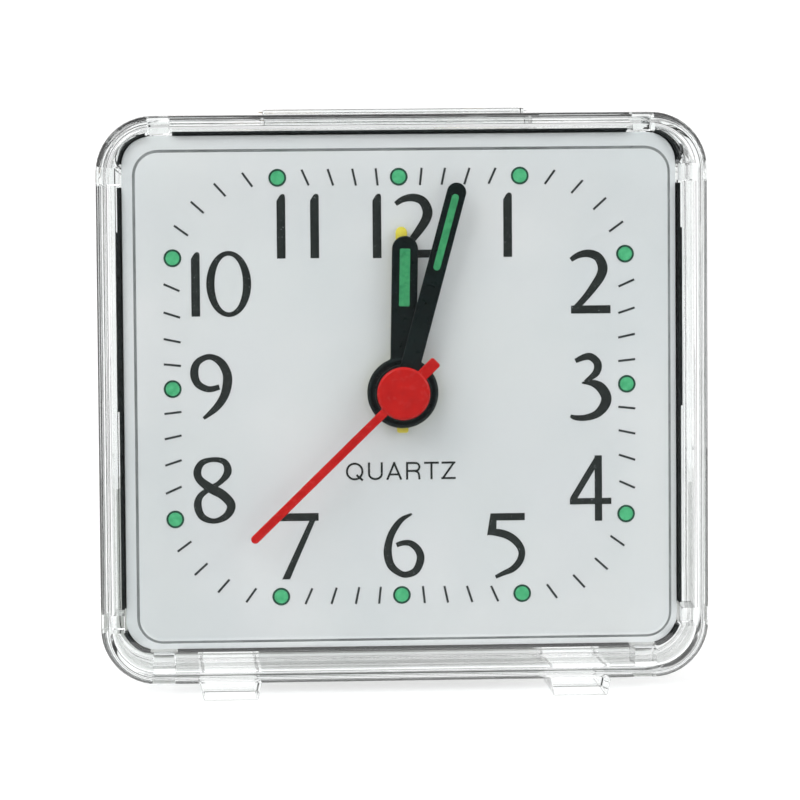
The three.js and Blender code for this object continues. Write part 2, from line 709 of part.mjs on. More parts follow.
// The frame is narrower below the dial, and wider beside the upper half of the movement.
function dialFrame() {
  let frame = slab(dialOutline(FRAME_MARGIN), FRAME_FACE, FRAME_BACK);
  for (const side of [-1, 1]) {
    const inner = DIAL.x + side * (DIAL.width / 2 + 0.3);
    const outer = DIAL.x + side * (DIAL.width / 2 + FRAME_MARGIN + SIDE_TAB.out);
    const [left, right] = [Math.min(inner, outer), Math.max(inner, outer)];
    frame = frame.add(block(left, right, FRAME_FACE, FRAME_BACK, SIDE_TAB.low, SIDE_TAB.high));
  }
  frame = frame.subtract(slab(dialOutline(FRAME_MARGIN - FRAME_LIP), FRAME_FACE - 1, DIAL_BACK + 0.05));
  frame = frame.subtract(slab(dialOutline(0, FRAME_OPENING), -20, 0));
  const below = DIAL.z - DIAL.height / 2 - FRAME_BOTTOM;
  frame = frame.subtract(block(-40, 40, -20, 0, -40, below));
  for (const notch of postNotches()) frame = frame.subtract(notch);
  return frame;
}

// Notches that let the posts of the front cover pass the frame.
function postNotches() {
  const notches = [];
  const topIn = DIAL.height / 2 - 0.1;
  const sideIn = DIAL.width / 2 - 0.1;
  for (const side of [-1, 1]) {
    const x = side * TOP_POST.offset;
    const halfTop = TOP_POST.width / 2 + POST_CLEARANCE;
    const z = side * SIDE_POST.offset;
    const halfSide = SIDE_POST.width / 2 + POST_CLEARANCE;
    notches.push(
      block(x - halfTop, x + halfTop, -20, 0, DIAL.z + topIn, 40),
      block(x - halfTop, x + halfTop, -20, 0, -40, DIAL.z - topIn),
      block(DIAL.x + sideIn, 40, -20, 0, z - halfSide, z + halfSide),
      block(-40, DIAL.x - sideIn, -20, 0, z - halfSide, z + halfSide),
    );
  }
  return notches;
}

// ---- Movement: plates and housing ---------------------------------------------------------------

function frontPlate() {
  const half = BOX.half - BOX.wall - 0.1;
  const low = BOX.bottom + BOX.wall + 0.1;
  const high = BOX.top - BOX.wall - 0.1;
  let plate = block(-half, half, FRONT_PLATE_FACE, FRONT_PLATE_BACK, low, high);
  for (const [x, z] of BRIDGE_POSTS) {
    plate = plate.add(disc(BRIDGE_POST, [FRONT_PLATE_BACK - 0.2, BRIDGE_FACE - 0.02], x, z, 8));
  }
  for (const [x, z] of BRIDGE_POSTS.slice(0, 2)) {
    plate = plate.subtract(disc(BRIDGE_SCREW.tapped, [-3, BRIDGE_BACK], x, z, 8));
  }
  for (const [x, z] of [INTERMEDIATE_AT, ROTOR_AT, THIRD_AT, MINUTE_AT, ALARM_IDLER_AT]) {
    plate = plate.subtract(disc(PIVOT_HOLE, [-20, -5], x, z + SHAFT_UP, 8));
  }
  return plate.subtract(disc(ALARM_TUBE.outer + 0.2, [-20, -5], 0, SHAFT_UP));
}

function bridge() {
  const { width, height, corner, x: middle, z: level } = BRIDGE;
  const shape = roundedRectangle(width, height, corner, middle, level);
  let plate = slab(shape, BRIDGE_FACE, BRIDGE_BACK);
  for (const [x, z] of [SHAFT, INTERMEDIATE_AT, ROTOR_AT, THIRD_AT]) {
    plate = plate.subtract(disc(PIVOT_HOLE, [0, 3], x, z + SHAFT_UP, 8));
  }
  for (const [x, z] of BRIDGE_POSTS.slice(0, 2)) {
    plate = plate.subtract(disc(BRIDGE_SCREW.hole, [0, 3], x, z, 8));
  }
  for (const [x, z] of [MINUTE_AT, ALARM_IDLER_AT]) {
    plate = plate.subtract(disc(KNOB_ARBOR_HOLE, [0, 3], x, z + SHAFT_UP));
  }
  return plate;
}

function bridgeScrew() {
  const slot = block(-0.15, 0.15, BRIDGE_BACK + 0.5, 4, -0.8, 0.8);
  return disc(BRIDGE_SCREW.head, [BRIDGE_BACK + 0.05, BRIDGE_BACK + 0.8])
    .add(disc(BRIDGE_SCREW.shank, [-2.5, BRIDGE_BACK + 0.2], 0, 0, 8))
    .subtract(slot);
}

// The box that closes the movement from behind and, below it, the open bay for the cell.
function movementHousing() {
  const { half, bottom, top, wall } = BOX;
  const boxFront = FRONT_PLATE_FACE + 0.2;
  let housing = block(-half, half, boxFront, HOUSING_BACK, bottom, top);
  housing = housing.subtract(
    block(-half + wall, half - wall, boxFront - 1, HOUSING_FLOOR, bottom + wall, top - wall),
  );
  const clear = 0.3;
  const inside = slab(outline(WALL + clear), BAY.front, BAY.back);
  const bayTop = bottom + wall;
  let bay = block(-BAY.half, BAY.half, BAY.front, BAY.back, BAY.bottom, bayTop).intersect(inside);
  const hollow = slab(
    roundedRectangle(
      2 * (BAY.half - BAY.wall),
      bottom - BAY.bottom - BAY.wall,
      3,
      0,
      (bottom + BAY.bottom + BAY.wall) / 2,
    ),
    BAY.front + BAY.wall,
    BAY.back + 1,
  );
  bay = bay.subtract(hollow).subtract(crossBar(CELL.radius + 0.15, -25.6, 25.6, CELL.y, CELL.z, 24));
  housing = housing.add(bay);
  for (const [x, z] of [MINUTE_AT, ALARM_IDLER_AT]) {
    housing = housing.subtract(disc(KNOB_ARBOR_HOLE, [0, 10], x, z + SHAFT_UP));
  }
  for (const side of [-1, 1]) {
    housing = housing.subtract(contactStrip(side, 0.25));
  }
  const { left, right, low, high } = LEAD_WINDOW;
  return housing.subtract(block(left, right, HOUSING_FLOOR - 1, HOUSING_BACK + 1, low, high));
}

// ---- Motor, electronics and buzzer --------------------------------------------------------------

function stator() {
  const { left, right, low, high, leg, top, span } = STATOR;
  return block(left, right, ...span, low, high)
    .add(block(left, left + leg, ...span, low, top))
    .add(block(right - leg, right, ...span, low, top))
    .subtract(disc(ROTOR.magnet.radius + 0.3, [-3, 3], ROTOR_AT[0], ROTOR_AT[1] + SHAFT_UP, 20));
}

function coilCore() {
  return block(STATOR.left, STATOR.right, STATOR.span[1] + 0.05, 1, COIL.z - 1, COIL.z + 1);
}

function coilBobbin() {
  const { left, right, flange, tube: barrel, y, z } = COIL;
  const core = block(left - 1, right + 1, STATOR.span[1] - 0.1, 1.1, z - 1.1, z + 1.1);
  return crossBar(barrel, left, right, y, z)
    .add(crossBar(flange, left, left + 0.6, y, z))
    .add(crossBar(flange, right - 0.6, right, y, z))
    .subtract(core);
}

function coilWinding() {
  const { left, right, winding, tube: barrel, y, z } = COIL;
  return crossBar(winding, left + 0.65, right - 0.65, y, z).subtract(
    crossBar(barrel + 0.08, left, right, y, z),
  );
}

function circuitBoard() {
  const { half, low, high } = BOARD;
  const notch = disc(1.6, [0, 10], 0, low);
  return block(-half, half, BOARD_FACE, BOARD_BACK, low, high).subtract(notch);
}

function chipCap() {
  const profile = [
    [0, BOARD_FACE - CHIP.height],
    [0.6 * CHIP.radius, BOARD_FACE - 0.75 * CHIP.height],
    [CHIP.radius, BOARD_FACE - 0.02],
    [0, BOARD_FACE - 0.02],
  ];
  const points = profile.map(([r, y]) => new THREE.Vector2(r, y)).reverse();
  const geometry = new THREE.LatheGeometry(points, 14);
  geometry.index.array.reverse();
  geometry.translate(CHIP.x, 0, CHIP.z);
  return solid(geometry);
}

function quartzCan() {
  const { left, right, radius, wire: thickness, z } = QUARTZ;
  return crossBar(radius, left, right, BOARD_FACE - radius - 0.05, z, 12).add(
    crossBar(thickness, right - 0.1, right + 1.4, BOARD_FACE - thickness - 0.05, z, 6),
  );
}

// A spring strip from the alarm wheel's rim back to the circuit board.
function alarmContact() {
  const { x, front, low, high, foot: width } = ALARM_STRIP;
  return block(x, x + STRIP, front, front + 1.1, low, high).add(
    block(x, x + STRIP, front, BOARD_FACE - 0.05, high - width, high),
  );
}

// A strip under the stop bar: the bar's stem presses it down.
function stopContact() {
  const { left, right, front, back, foot: width } = STOP_STRIP;
  const low = BOX.top + 0.05;
  return block(left, right, front, back, low, low + STRIP).add(
    block(left, left + width, front, back, low, low + 2 * STRIP),
  );
}

function buzzer() {
  const { radius, ceramic, span } = BUZZER;
  return disc(radius, span, 0, 0, 24).add(
    disc(ceramic, [span[0] - 0.2, span[0] + 0.1], 0, 0, 20),
  );
}

// A lead from the circuit board through the window in the housing to the buzzer.
function buzzerLead(x, endX, endZ) {
  const points = [
    [x, BOARD_BACK + 0.3, 12],
    [x, HOUSING_FLOOR + 0.8, 12],
    [(x + endX) / 2, 8.4, (12 + endZ) / 2],
    [endX, 9.1, endZ],
    [endX + 0.6, 9.25, endZ + 1.6],
  ];
  const route = new THREE.CatmullRomCurve3(points.map((point) => new THREE.Vector3(...point)));
  return wire(route, 0.35, 12, 6);
}

// ---- Battery and its contacts -------------------------------------------------------------------

function cell() {
  const { radius, left, right, nub, nubLength, y, z } = CELL;
  return crossBar(radius, left, right, y, z, 24).add(
    crossBar(nub, left - nubLength, left + 0.2, y, z, 16),
  );
}

// The sheet strip of one contact: up from the cell, in through the housing wall, and on to the board.
// It lies on the left (-1) or right (+1) side and is grown by the clearance that its slots need.
function contactStrip(side, grow) {
  const { thick } = CONTACT;
  const at = side < 0 ? CONTACT.left : CONTACT.right;
  const { inner, low: foot, shelf, high: top } = CONTACT_STEP;
  const strips = [
    [at, at + thick, foot, shelf + thick],
    [inner, at + thick, shelf, shelf + thick],
    [inner, inner + thick, shelf, top],
  ];
  let strip;
  for (const [near, far, low, high] of strips) {
    const [left, right] = side < 0 ? [-far, -near] : [near, far];
    const piece = block(
      left - grow,
      right + grow,
      CONTACT.strip[0] - grow,
      CONTACT.strip[1] + grow,
      low - grow,
      high + grow,
    );
    strip = strip ? strip.add(piece) : piece;
  }
  return strip;
}

function contactPlate(side) {
  const { thick, half, plate } = CONTACT;
  const [left, right] =
    side < 0 ? [-CONTACT.left - thick, -CONTACT.left] : [CONTACT.right, CONTACT.right + thick];
  return block(left, right, ...plate, CELL.z - half, CELL.z + half);
}

function positiveContact() {
  return contactPlate(-1).add(contactStrip(-1, 0));
}

function negativeContact() {
  return contactPlate(1).add(contactStrip(1, 0));
}

// The spring that presses on the cell's flat end: a cone lying on its side.
function cellSpring() {
  const { large, small, near, far, turns, wire: thickness } = CELL_SPRING;
  const coil = wire(new Helix(large, small, near, far, turns), thickness, 28);
  return coil.rotate([0, -90, 0]).translate([CONTACT.right - 0.05, CELL.y, CELL.z]);
}

// ---- Assembly -----------------------------------------------------------------------------------

const LOOKS = {
  clear: { color: 0xe8eef2, roughness: 0.05, metalness: 0, transparent: true, opacity: 0.3 },
  white: { color: 0xf2f2ee, roughness: 0.5, metalness: 0 },
  dial: { color: 0xdcdee0, roughness: 0.6, metalness: 0 },
  black: { color: 0x0b1110, roughness: 0.35, metalness: 0 },
  darkHand: { color: 0x06201d, roughness: 0.35, metalness: 0 },
  red: { color: 0xd81414, roughness: 0.3, metalness: 0 },
  yellow: { color: 0xe0d23c, roughness: 0.45, metalness: 0 },
  nylon: { color: 0xf4efe0, roughness: 0.45, metalness: 0 },
  brass: { color: 0xc9a14a, roughness: 0.3, metalness: 1 },
  steel: { color: 0xb9bcc0, roughness: 0.3, metalness: 1 },
  copper: { color: 0xb4602c, roughness: 0.3, metalness: 0.9 },
  board: { color: 0x2f6a3a, roughness: 0.55, metalness: 0 },
  magnet: { color: 0x3a3a3e, roughness: 0.4, metalness: 0.6 },
  cell: { color: 0x50545a, roughness: 0.35, metalness: 0.3 },
  redLead: { color: 0xb02020, roughness: 0.5, metalness: 0 },
  blackLead: { color: 0x151515, roughness: 0.5, metalness: 0 },
};

// A solid as a named mesh; x and z move it across the dial plane, degrees turn it clockwise.
function piece(name, look, body, [x, z] = [0, 0], degrees = 0) {
  const made = body.getMesh();
  const geometry = new THREE.BufferGeometry();
  geometry.setAttribute("position", new THREE.BufferAttribute(made.vertProperties, 3));
  geometry.setIndex(new THREE.BufferAttribute(made.triVerts, 1));
  const mesh = new THREE.Mesh(geometry, new THREE.MeshStandardMaterial(LOOKS[look]));
  mesh.name = name;
  mesh.position.set(x, 0, z);
  mesh.rotation.y = radians(degrees);
  return mesh;
}

function group(z, ...members) {
  const made = new THREE.Group();
  made.position.z = z;
  made.add(...members);
  return made;
}

const hands = group(
  SHAFT_UP,
  piece("second_hand", "red", secondHand(), SHAFT, SECOND_HAND.degrees),
  piece("minute_hand", "darkHand", minuteHand(), SHAFT, MINUTE_HAND.degrees),
  piece("hour_hand", "darkHand", hourHand(), SHAFT, HOUR_HAND.degrees),
  piece("alarm_hand", "yellow", alarmHand(), SHAFT, ALARM_HAND.degrees),
);

const wheels = group(
  SHAFT_UP,
  piece("rotor", "magnet", rotor(), ROTOR_AT),
  piece("intermediate_wheel", "nylon", intermediateWheel(), INTERMEDIATE_AT),
  piece("second_wheel", "nylon", secondWheel()),
  piece("third_wheel", "nylon", thirdWheel(), THIRD_AT),
  piece("centre_wheel", "brass", centreWheel()),
  piece("cannon_pinion", "nylon", cannonPinion()),
  piece("minute_wheel", "nylon", minuteWheel(), MINUTE_AT),
  piece("hour_wheel", "nylon", hourWheel()),
  piece("alarm_wheel", "yellow", alarmWheel()),
  piece("alarm_idler", "nylon", alarmIdler(), ALARM_IDLER_AT),
  piece("time_knob", "white", knob(), MINUTE_AT),
  piece("alarm_knob", "white", knob(), ALARM_IDLER_AT),
);

const [rightPost, leftPost] = BRIDGE_POSTS;
const movement = group(
  0,
  piece("movement_front_plate", "white", frontPlate()),
  piece("movement_housing", "white", movementHousing()),
  piece("train_bridge", "white", bridge()),
  piece("bridge_screw_left", "steel", bridgeScrew(), leftPost),
  piece("bridge_screw_right", "steel", bridgeScrew(), rightPost),
  piece("stator", "steel", stator()),
  piece("coil_core", "steel", coilCore()),
  piece("coil_bobbin", "white", coilBobbin()),
  piece("coil_winding", "copper", coilWinding()),
  piece("circuit_board", "board", circuitBoard()),
  piece("chip_cap", "black", chipCap()),
  piece("quartz_can", "steel", quartzCan()),
  piece("alarm_contact", "brass", alarmContact()),
  piece("stop_contact", "brass", stopContact()),
  piece("buzzer", "brass", buzzer(), [BUZZER.x, BUZZER.z]),
  piece("buzzer_lead_red", "redLead", buzzerLead(-13, -15, 16.5)),
  piece("buzzer_lead_black", "blackLead", buzzerLead(-9, -7, 16.5)),
  piece("battery", "cell", cell()),
  piece("battery_contact_positive", "steel", positiveContact()),
  piece("battery_contact_negative", "steel", negativeContact()),
  piece("battery_spring", "steel", cellSpring()),
);

const caseParts = group(
  0,
  piece("front_cover", "clear", frontCover()),
  piece("rear_case", "clear", rearCase()),
  piece("battery_door", "clear", batteryDoor()),
  piece("stop_bar", "clear", stopBar()),
  piece("stop_bar_spring", "steel", stopBarSpring().translate([0, BAR_SPRING.y, 0])),
  piece("alarm_switch", "white", alarmSwitch()),
  piece("dial_frame", "black", dialFrame()),
  piece("dial_plate", "dial", dialPlate()),
  piece("case_screw_left", "steel", caseScrew(), [-CASE_SCREW.x, CASE_SCREW.z]),
  piece("case_screw_right", "steel", caseScrew(), [CASE_SCREW.x, CASE_SCREW.z]),
);

export default group(CASE_MIDDLE, caseParts, movement, wheels, hands);
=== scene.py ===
"""A clear plastic travel alarm clock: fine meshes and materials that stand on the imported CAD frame.

Sizes are in millimetres, in the part's own frame: x to the right, y to the back, z up from the table.
"""
import math

import bmesh
import bpy
from mathutils import Matrix, Vector
from mathutils.geometry import delaunay_2d_cdt

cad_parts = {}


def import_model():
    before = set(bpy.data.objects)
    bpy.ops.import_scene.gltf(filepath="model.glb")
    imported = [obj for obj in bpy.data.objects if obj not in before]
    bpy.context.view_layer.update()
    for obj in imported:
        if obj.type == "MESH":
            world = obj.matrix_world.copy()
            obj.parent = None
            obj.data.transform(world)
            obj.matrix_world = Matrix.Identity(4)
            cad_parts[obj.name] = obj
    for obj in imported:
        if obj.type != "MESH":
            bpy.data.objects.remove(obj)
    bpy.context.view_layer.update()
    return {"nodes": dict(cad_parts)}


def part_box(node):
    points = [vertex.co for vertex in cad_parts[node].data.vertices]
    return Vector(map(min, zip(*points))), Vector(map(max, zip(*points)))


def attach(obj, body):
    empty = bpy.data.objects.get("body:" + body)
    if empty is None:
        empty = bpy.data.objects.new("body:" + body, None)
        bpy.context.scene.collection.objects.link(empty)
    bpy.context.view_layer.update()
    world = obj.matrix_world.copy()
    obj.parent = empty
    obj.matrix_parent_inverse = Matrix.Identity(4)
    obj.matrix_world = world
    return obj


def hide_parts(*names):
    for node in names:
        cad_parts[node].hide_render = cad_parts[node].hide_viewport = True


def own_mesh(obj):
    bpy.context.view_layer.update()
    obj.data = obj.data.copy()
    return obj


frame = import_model()
scene = bpy.context.scene

# ---- Driving sizes -------------------------------------------------------------------------------

MM = 0.001


def corners(node):
    """Lowest and highest corner of a CAD node, in millimetres."""
    low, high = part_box(node)
    return low / MM, high / MM


COVER_LOW, COVER_HIGH = corners("front_cover")
REAR_LOW, REAR_HIGH = corners("rear_case")
DIAL_LOW, DIAL_HIGH = corners("dial_plate")
FRAME_LOW, FRAME_HIGH = corners("dial_frame")

# Case: outline, wall and the places along its depth.
FOOT_HEIGHT = 1.7
CASE_WIDTH = REAR_HIGH.x - REAR_LOW.x
CASE_HEIGHT = REAR_HIGH.z - FOOT_HEIGHT
MIDDLE = FOOT_HEIGHT + CASE_HEIGHT / 2
CASE_CORNER = 5.4
WALL = 1.0
EDGE_ROUND = 0.8
WINDOW_FACE = COVER_LOW.y
WINDOW_STEP = 0.4
RIM_FACE = WINDOW_FACE + WINDOW_STEP
WINDOW_INSIDE = -14.9
COVER_BACK = COVER_HIGH.y
REAR_FRONT = -3.9
REAR_INSIDE = 13.0
REAR_FACE = REAR_HIGH.y
WINDOW = (50.8, 46.7, 2.4)
WINDOW_CENTRE = (-0.1, MIDDLE + 0.4)

# Dial, and the black frame round it.
DIAL_WIDTH = DIAL_HIGH.x - DIAL_LOW.x
DIAL_HEIGHT = DIAL_HIGH.z - DIAL_LOW.z
DIAL_CORNER = 2.8
DIAL_CENTRE = ((DIAL_LOW.x + DIAL_HIGH.x) / 2, (DIAL_LOW.z + DIAL_HIGH.z) / 2)
FRAME_MARGIN = 0.45
DIAL_FACE = DIAL_LOW.y
SHAFT = (0.0, MIDDLE + 0.42)
PRINT_THICK = 0.02
PRINT_OFFSET = (-0.25, 0.22)
PRINT_CENTRE = (0.08 + PRINT_OFFSET[0], MIDDLE + 0.7 + PRINT_OFFSET[1])

# Posts and feet of the clear shells.
TOP_POST = (23.0, 1.05)
SIDE_POST = (21.25, 0.85)
POST_DEPTH = (WINDOW_INSIDE - 0.3, -9.0)
FOOT = (16.7, 2.6, 3.05)
FRONT_FOOT = (-15.4, -4.6)
REAR_FOOT = (-3.4, 9.5)

SEAM_LIP = WALL + 0.1
SCREW = (25.4, MIDDLE + 23.4)
BUZZER = (-11.0, MIDDLE + 14.5)
SWITCH = (15.0, MIDDLE + 14.0)
DOOR = (25.7, MIDDLE - 24.3, MIDDLE - 10.0)
CELL = (5.6, MIDDLE - 17.75)
KNOB_FACE = 14.5
KNOBS = {}
for knob_name in ("time_knob", "alarm_knob"):
    knob_low, knob_high = corners(knob_name)
    KNOBS[knob_name] = ((knob_low.x + knob_high.x) / 2, (knob_low.z + knob_high.z) / 2)
WORD = (-5.2, MIDDLE - 8.25)

# ---- Meshes --------------------------------------------------------------------------------------


def rounded(width, height, corner, steps=12, centre=(0.0, MIDDLE)):
    """A rounded rectangle as (x, z) points, counter-clockwise seen from the front."""
    points = []
    quarters = [(1, -1), (1, 1), (-1, 1), (-1, -1)]
    for quarter, (side, level) in enumerate(quarters):
        x = centre[0] + side * (width / 2 - corner)
        z = centre[1] + level * (height / 2 - corner)
        for step in range(steps + 1):
            angle = math.radians(90 * (quarter - 1 + step / steps))
            points.append((x + corner * math.cos(angle), z + corner * math.sin(angle)))
    return points


def circle(radius, centre=(0.0, 0.0), steps=64):
    turns = [2 * math.pi * step / steps for step in range(steps)]
    return [(centre[0] + radius * math.cos(t), centre[1] + radius * math.sin(t)) for t in turns]


def case_ring(inset, y):
    """The case outline, moved in by inset, at the depth y."""
    outline = rounded(CASE_WIDTH - 2 * inset, CASE_HEIGHT - 2 * inset, CASE_CORNER - inset)
    return [(x, y, z) for x, z in outline]


def window_ring(inset, y):
    width, height, corner = WINDOW
    outline = rounded(width - 2 * inset, height - 2 * inset, corner - inset, centre=WINDOW_CENTRE)
    return [(x, y, z) for x, z in outline]


def lofted(rings):
    """A solid through rings of equal length; the first and the last ring are filled."""
    made = bmesh.new()
    loops = [[made.verts.new(point) for point in ring] for ring in rings]
    for near, far in zip(loops, loops[1:]):
        for i, vertex in enumerate(near):
            j = (i + 1) % len(near)
            made.faces.new((vertex, near[j], far[j], far[i]))
    made.faces.new(loops[0])
    made.faces.new(loops[-1])
    bmesh.ops.recalc_face_normals(made, faces=made.faces)
    return made


def turned(profile, centre=(0.0, 0.0), steps=64, along="y"):
    """A lathe solid from (radius, place) points; it starts and ends off the axis, and its ends are flat."""
    rings = []
    for radius, place in profile:
        ring = []
        for a, b in circle(radius, centre, steps):
            ring.append((a, place, b) if along == "y" else (place, a, b))
        rings.append(ring)
    return lofted(rings)


def rounded_off(made, width, segments=3, least=30):
    """Rounds every edge of a solid whose faces turn by more than least degrees."""
    sharp = [e for e in made.edges if e.calc_face_angle(0) > math.radians(least)]
    bmesh.ops.bevel(
        made, geom=sharp, offset=width, segments=segments, profile=0.5, affect="EDGES",
        clamp_overlap=True,
    )
    return made


def prism(outline, front, rear, bevel=0.0, segments=3):
    """An upright outline of (x, z) points run along the depth, its edges rounded off by bevel."""
    made = lofted([[(x, front, z) for x, z in outline], [(x, rear, z) for x, z in outline]])
    if bevel:
        rounded_off(made, bevel, segments)
    return made


def block(left, right, front, rear, low, high, bevel=0.0):
    outline = [(left, low), (right, low), (right, high), (left, high)]
    return prism(outline, front, rear, bevel, 2)


def wire(points, radius, sides=12):
    """A round wire along a list of points, with flat ends."""
    path = [Vector(point) for point in points]
    rings = []
    side = None
    for i, point in enumerate(path):
        ahead = path[min(i + 1, len(path) - 1)]
        behind = path[max(i - 1, 0)]
        along = (ahead - behind).normalized()
        if side is None:
            side = along.orthogonal().normalized()
        side = (side - along * side.dot(along)).normalized()
        other = along.cross(side)
        turns = [2 * math.pi * step / sides for step in range(sides)]
        rings.append([point + radius * (side * math.cos(t) + other * math.sin(t)) for t in turns])
    return lofted(rings)


def as_object(made, name="shape"):
    mesh = bpy.data.meshes.new(name)
    made.to_mesh(mesh)
    made.free()
    shape = bpy.data.objects.new(name, mesh)
    scene.collection.objects.link(shape)
    return shape


def combined(base, added=(), cut=(), kept=()):
    """The solid base with the added ones joined to it and the cut ones taken away, inside the kept ones."""
    host = as_object(base)
    tools = []
    for operation, shapes in (("UNION", added), ("DIFFERENCE", cut), ("INTERSECT", kept)):
        for shape in shapes:
            tool = as_object(shape)
            tools.append(tool)
            modifier = host.modifiers.new(operation, "BOOLEAN")
            modifier.operation = operation
            modifier.solver = "EXACT"
            modifier.object = tool
    made = bmesh.new()
    made.from_object(host, bpy.context.evaluated_depsgraph_get())
    for used in [host, *tools]:
        bpy.data.meshes.remove(used.data)
    bmesh.ops.remove_doubles(made, verts=made.verts, dist=1e-4)
    return made


def spun(made, degrees, centre):
    """Turns a solid about the line along y through centre; positive is clockwise from the front."""
    pivot = Vector((centre[0], 0, centre[1]))
    turn = Matrix.Rotation(math.radians(degrees), 3, "Y")
    bmesh.ops.rotate(made, cent=pivot, matrix=turn, verts=made.verts)
    return made


def shade(piece, least=35):
    """Smooth shading that stays crisp at edges sharper than least degrees and keeps flat faces flat."""
    piece.data.shade_smooth()
    piece.data.set_sharp_from_angle(angle=math.radians(least))
    weighted = piece.modifiers.new("flat faces", "WEIGHTED_NORMAL")
    weighted.keep_sharp = True


def piece(name, made, material, body, slot=None, stands_for=()):
    """Puts a solid in the scene as a piece that rides on a body of the frame."""
    bmesh.ops.recalc_face_normals(made, faces=made.faces)
    made.transform(Matrix.Scale(MM, 4))
    shown = as_object(made, name)
    shown.data.materials.append(material)
    shade(shown)
    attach(shown, body)
    if stands_for:
        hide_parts(*stands_for)
    return shown


# ---- Materials -----------------------------------------------------------------------------------


class Look:
    """A node material whose parts are added one by one."""

    def __init__(self, name, **values):
        self.material = bpy.data.materials.new(name)
        self.material.use_nodes = True
        tree = self.material.node_tree
        self.nodes = tree.nodes
        self.links = tree.links
        self.shader = self.nodes["Principled BSDF"]
        self.output = self.nodes["Material Output"]
        for socket, value in values.items():
            self.shader.inputs[socket.replace("_", " ")].default_value = value

    def node(self, kind, **settings):
        made = self.nodes.new(kind)
        for name, value in settings.items():
            if name in made.inputs:
                made.inputs[name].default_value = value
            else:
                setattr(made, name, value)
        return made

    def place(self, stretch=(1, 1, 1)):
        """Object coordinates in millimetres, stretched along each axis."""
        source = self.node("ShaderNodeTexCoord")
        mapping = self.node("ShaderNodeMapping")
        mapping.inputs["Scale"].default_value = [s / MM for s in stretch]
        self.links.new(source.outputs["Object"], mapping.inputs["Vector"])
        return mapping.outputs["Vector"]

    def noise(self, grain, detail=3, stretch=(1, 1, 1), rough=0.55):
        """Noise with features about grain millimetres across."""
        made = self.node("ShaderNodeTexNoise", Scale=1 / grain, Detail=detail, Roughness=rough)
        self.links.new(self.place(stretch), made.inputs["Vector"])
        return made.outputs["Fac"]

    def ramp(self, source, stops):
        """Colours along a value: stops are (place, colour)."""
        made = self.node("ShaderNodeValToRGB")
        elements = made.color_ramp.elements
        while len(elements) < len(stops):
            elements.new(0.5)
        for element, (place, colour) in zip(elements, stops):
            element.position = place
            element.color = (*colour, 1)
        self.links.new(source, made.inputs["Fac"])
        return made.outputs["Color"]

    def span(self, source, low, high, source_low=0.3, source_high=0.7):
        made = self.node("ShaderNodeMapRange")
        for name, value in (
            ("From Min", source_low),
            ("From Max", source_high),
            ("To Min", low),
            ("To Max", high),
        ):
            made.inputs[name].default_value = value
        self.links.new(source, made.inputs["Value"])
        return made.outputs["Result"]

    def set(self, socket, source):
        self.links.new(source, self.shader.inputs[socket])
        return self

    def bump(self, source, height, strength=1.0):
        """Bump of the given height in millimetres."""
        made = self.node("ShaderNodeBump", Strength=strength, Distance=height * MM)
        self.links.new(source, made.inputs["Height"])
        self.links.new(made.outputs["Normal"], self.shader.inputs["Normal"])
        return self


def moulded(name, dark, light, rough, grain=1.6, relief=0.004, fine=0.12, **values):
    """Moulded plastic: faint flow marks in the colour and a fine satin grain."""
    look = Look(name, **values)
    flow = look.noise(grain, 4)
    look.set("Base Color", look.ramp(flow, [(0.3, dark), (0.7, light)]))
    look.set("Roughness", look.span(look.noise(grain * 0.6), *rough))
    return look.bump(look.noise(fine, 2), relief).material


def metal(name, dark, light, rough, stretch=(1, 1, 1), grain=0.25):
    """Metal with a grain drawn out along one axis."""
    look = Look(name, Metallic=1.0)
    drawn = look.noise(grain, 4, stretch)
    look.set("Base Color", look.ramp(drawn, [(0.25, dark), (0.75, light)]))
    look.set("Roughness", look.span(drawn, *rough))
    return look.bump(drawn, 0.003).material


def clear_plastic():
    """Clear polystyrene: nearly colourless, slightly wavy, and it lets light through to the inside."""
    look = Look("clear_plastic", Roughness=0.025, IOR=1.57, Transmission_Weight=1.0)
    tint = look.noise(9.0, 2)
    look.set("Base Color", look.ramp(tint, [(0.3, (0.955, 0.972, 0.968)), (0.7, (0.99, 0.995, 0.995))]))
    look.bump(look.noise(5.0, 2), 0.012)
    passing = look.node("ShaderNodeBsdfTransparent")
    passing.inputs["Color"].default_value = (0.93, 0.945, 0.945, 1)
    path = look.node("ShaderNodeLightPath")
    mix = look.node("ShaderNodeMixShader")
    look.links.new(path.outputs["Is Shadow Ray"], mix.inputs["Fac"])
    look.links.new(look.shader.outputs["BSDF"], mix.inputs[1])
    look.links.new(passing.outputs["BSDF"], mix.inputs[2])
    look.links.new(mix.outputs["Shader"], look.output.inputs["Surface"])
    return look.material


def step_painted_shade():
    """The satin step round the window: the same plastic, spark-finished in the mould, coloured a dark faint
    mottle: painted shade that draws the dark line along the step.
    """
    look = Look("step_painted_shade", IOR=1.57, Transmission_Weight=0.75)
    painted_shade_mottle = look.noise(3.0, 3)
    # Base colour: painted shade, dark and faintly mottled, for the line the step shows round the window
    look.set("Base Color", look.ramp(painted_shade_mottle, [(0.3, (0.03, 0.036, 0.036)), (0.7, (0.12, 0.135, 0.135))]))
    look.set("Roughness", look.span(look.noise(0.3), 0.25, 0.45))
    return look.material


def dial_card():
    """Off-white card with a faint cloudy tone and a very fine paper grain."""
    look = Look("dial_card", Roughness=0.55)
    cloud = look.noise(14.0, 3)
    look.set("Base Color", look.ramp(cloud, [(0.3, (0.70, 0.725, 0.74)), (0.7, (0.755, 0.77, 0.775))]))
    return look.bump(look.noise(0.09, 3), 0.003).material


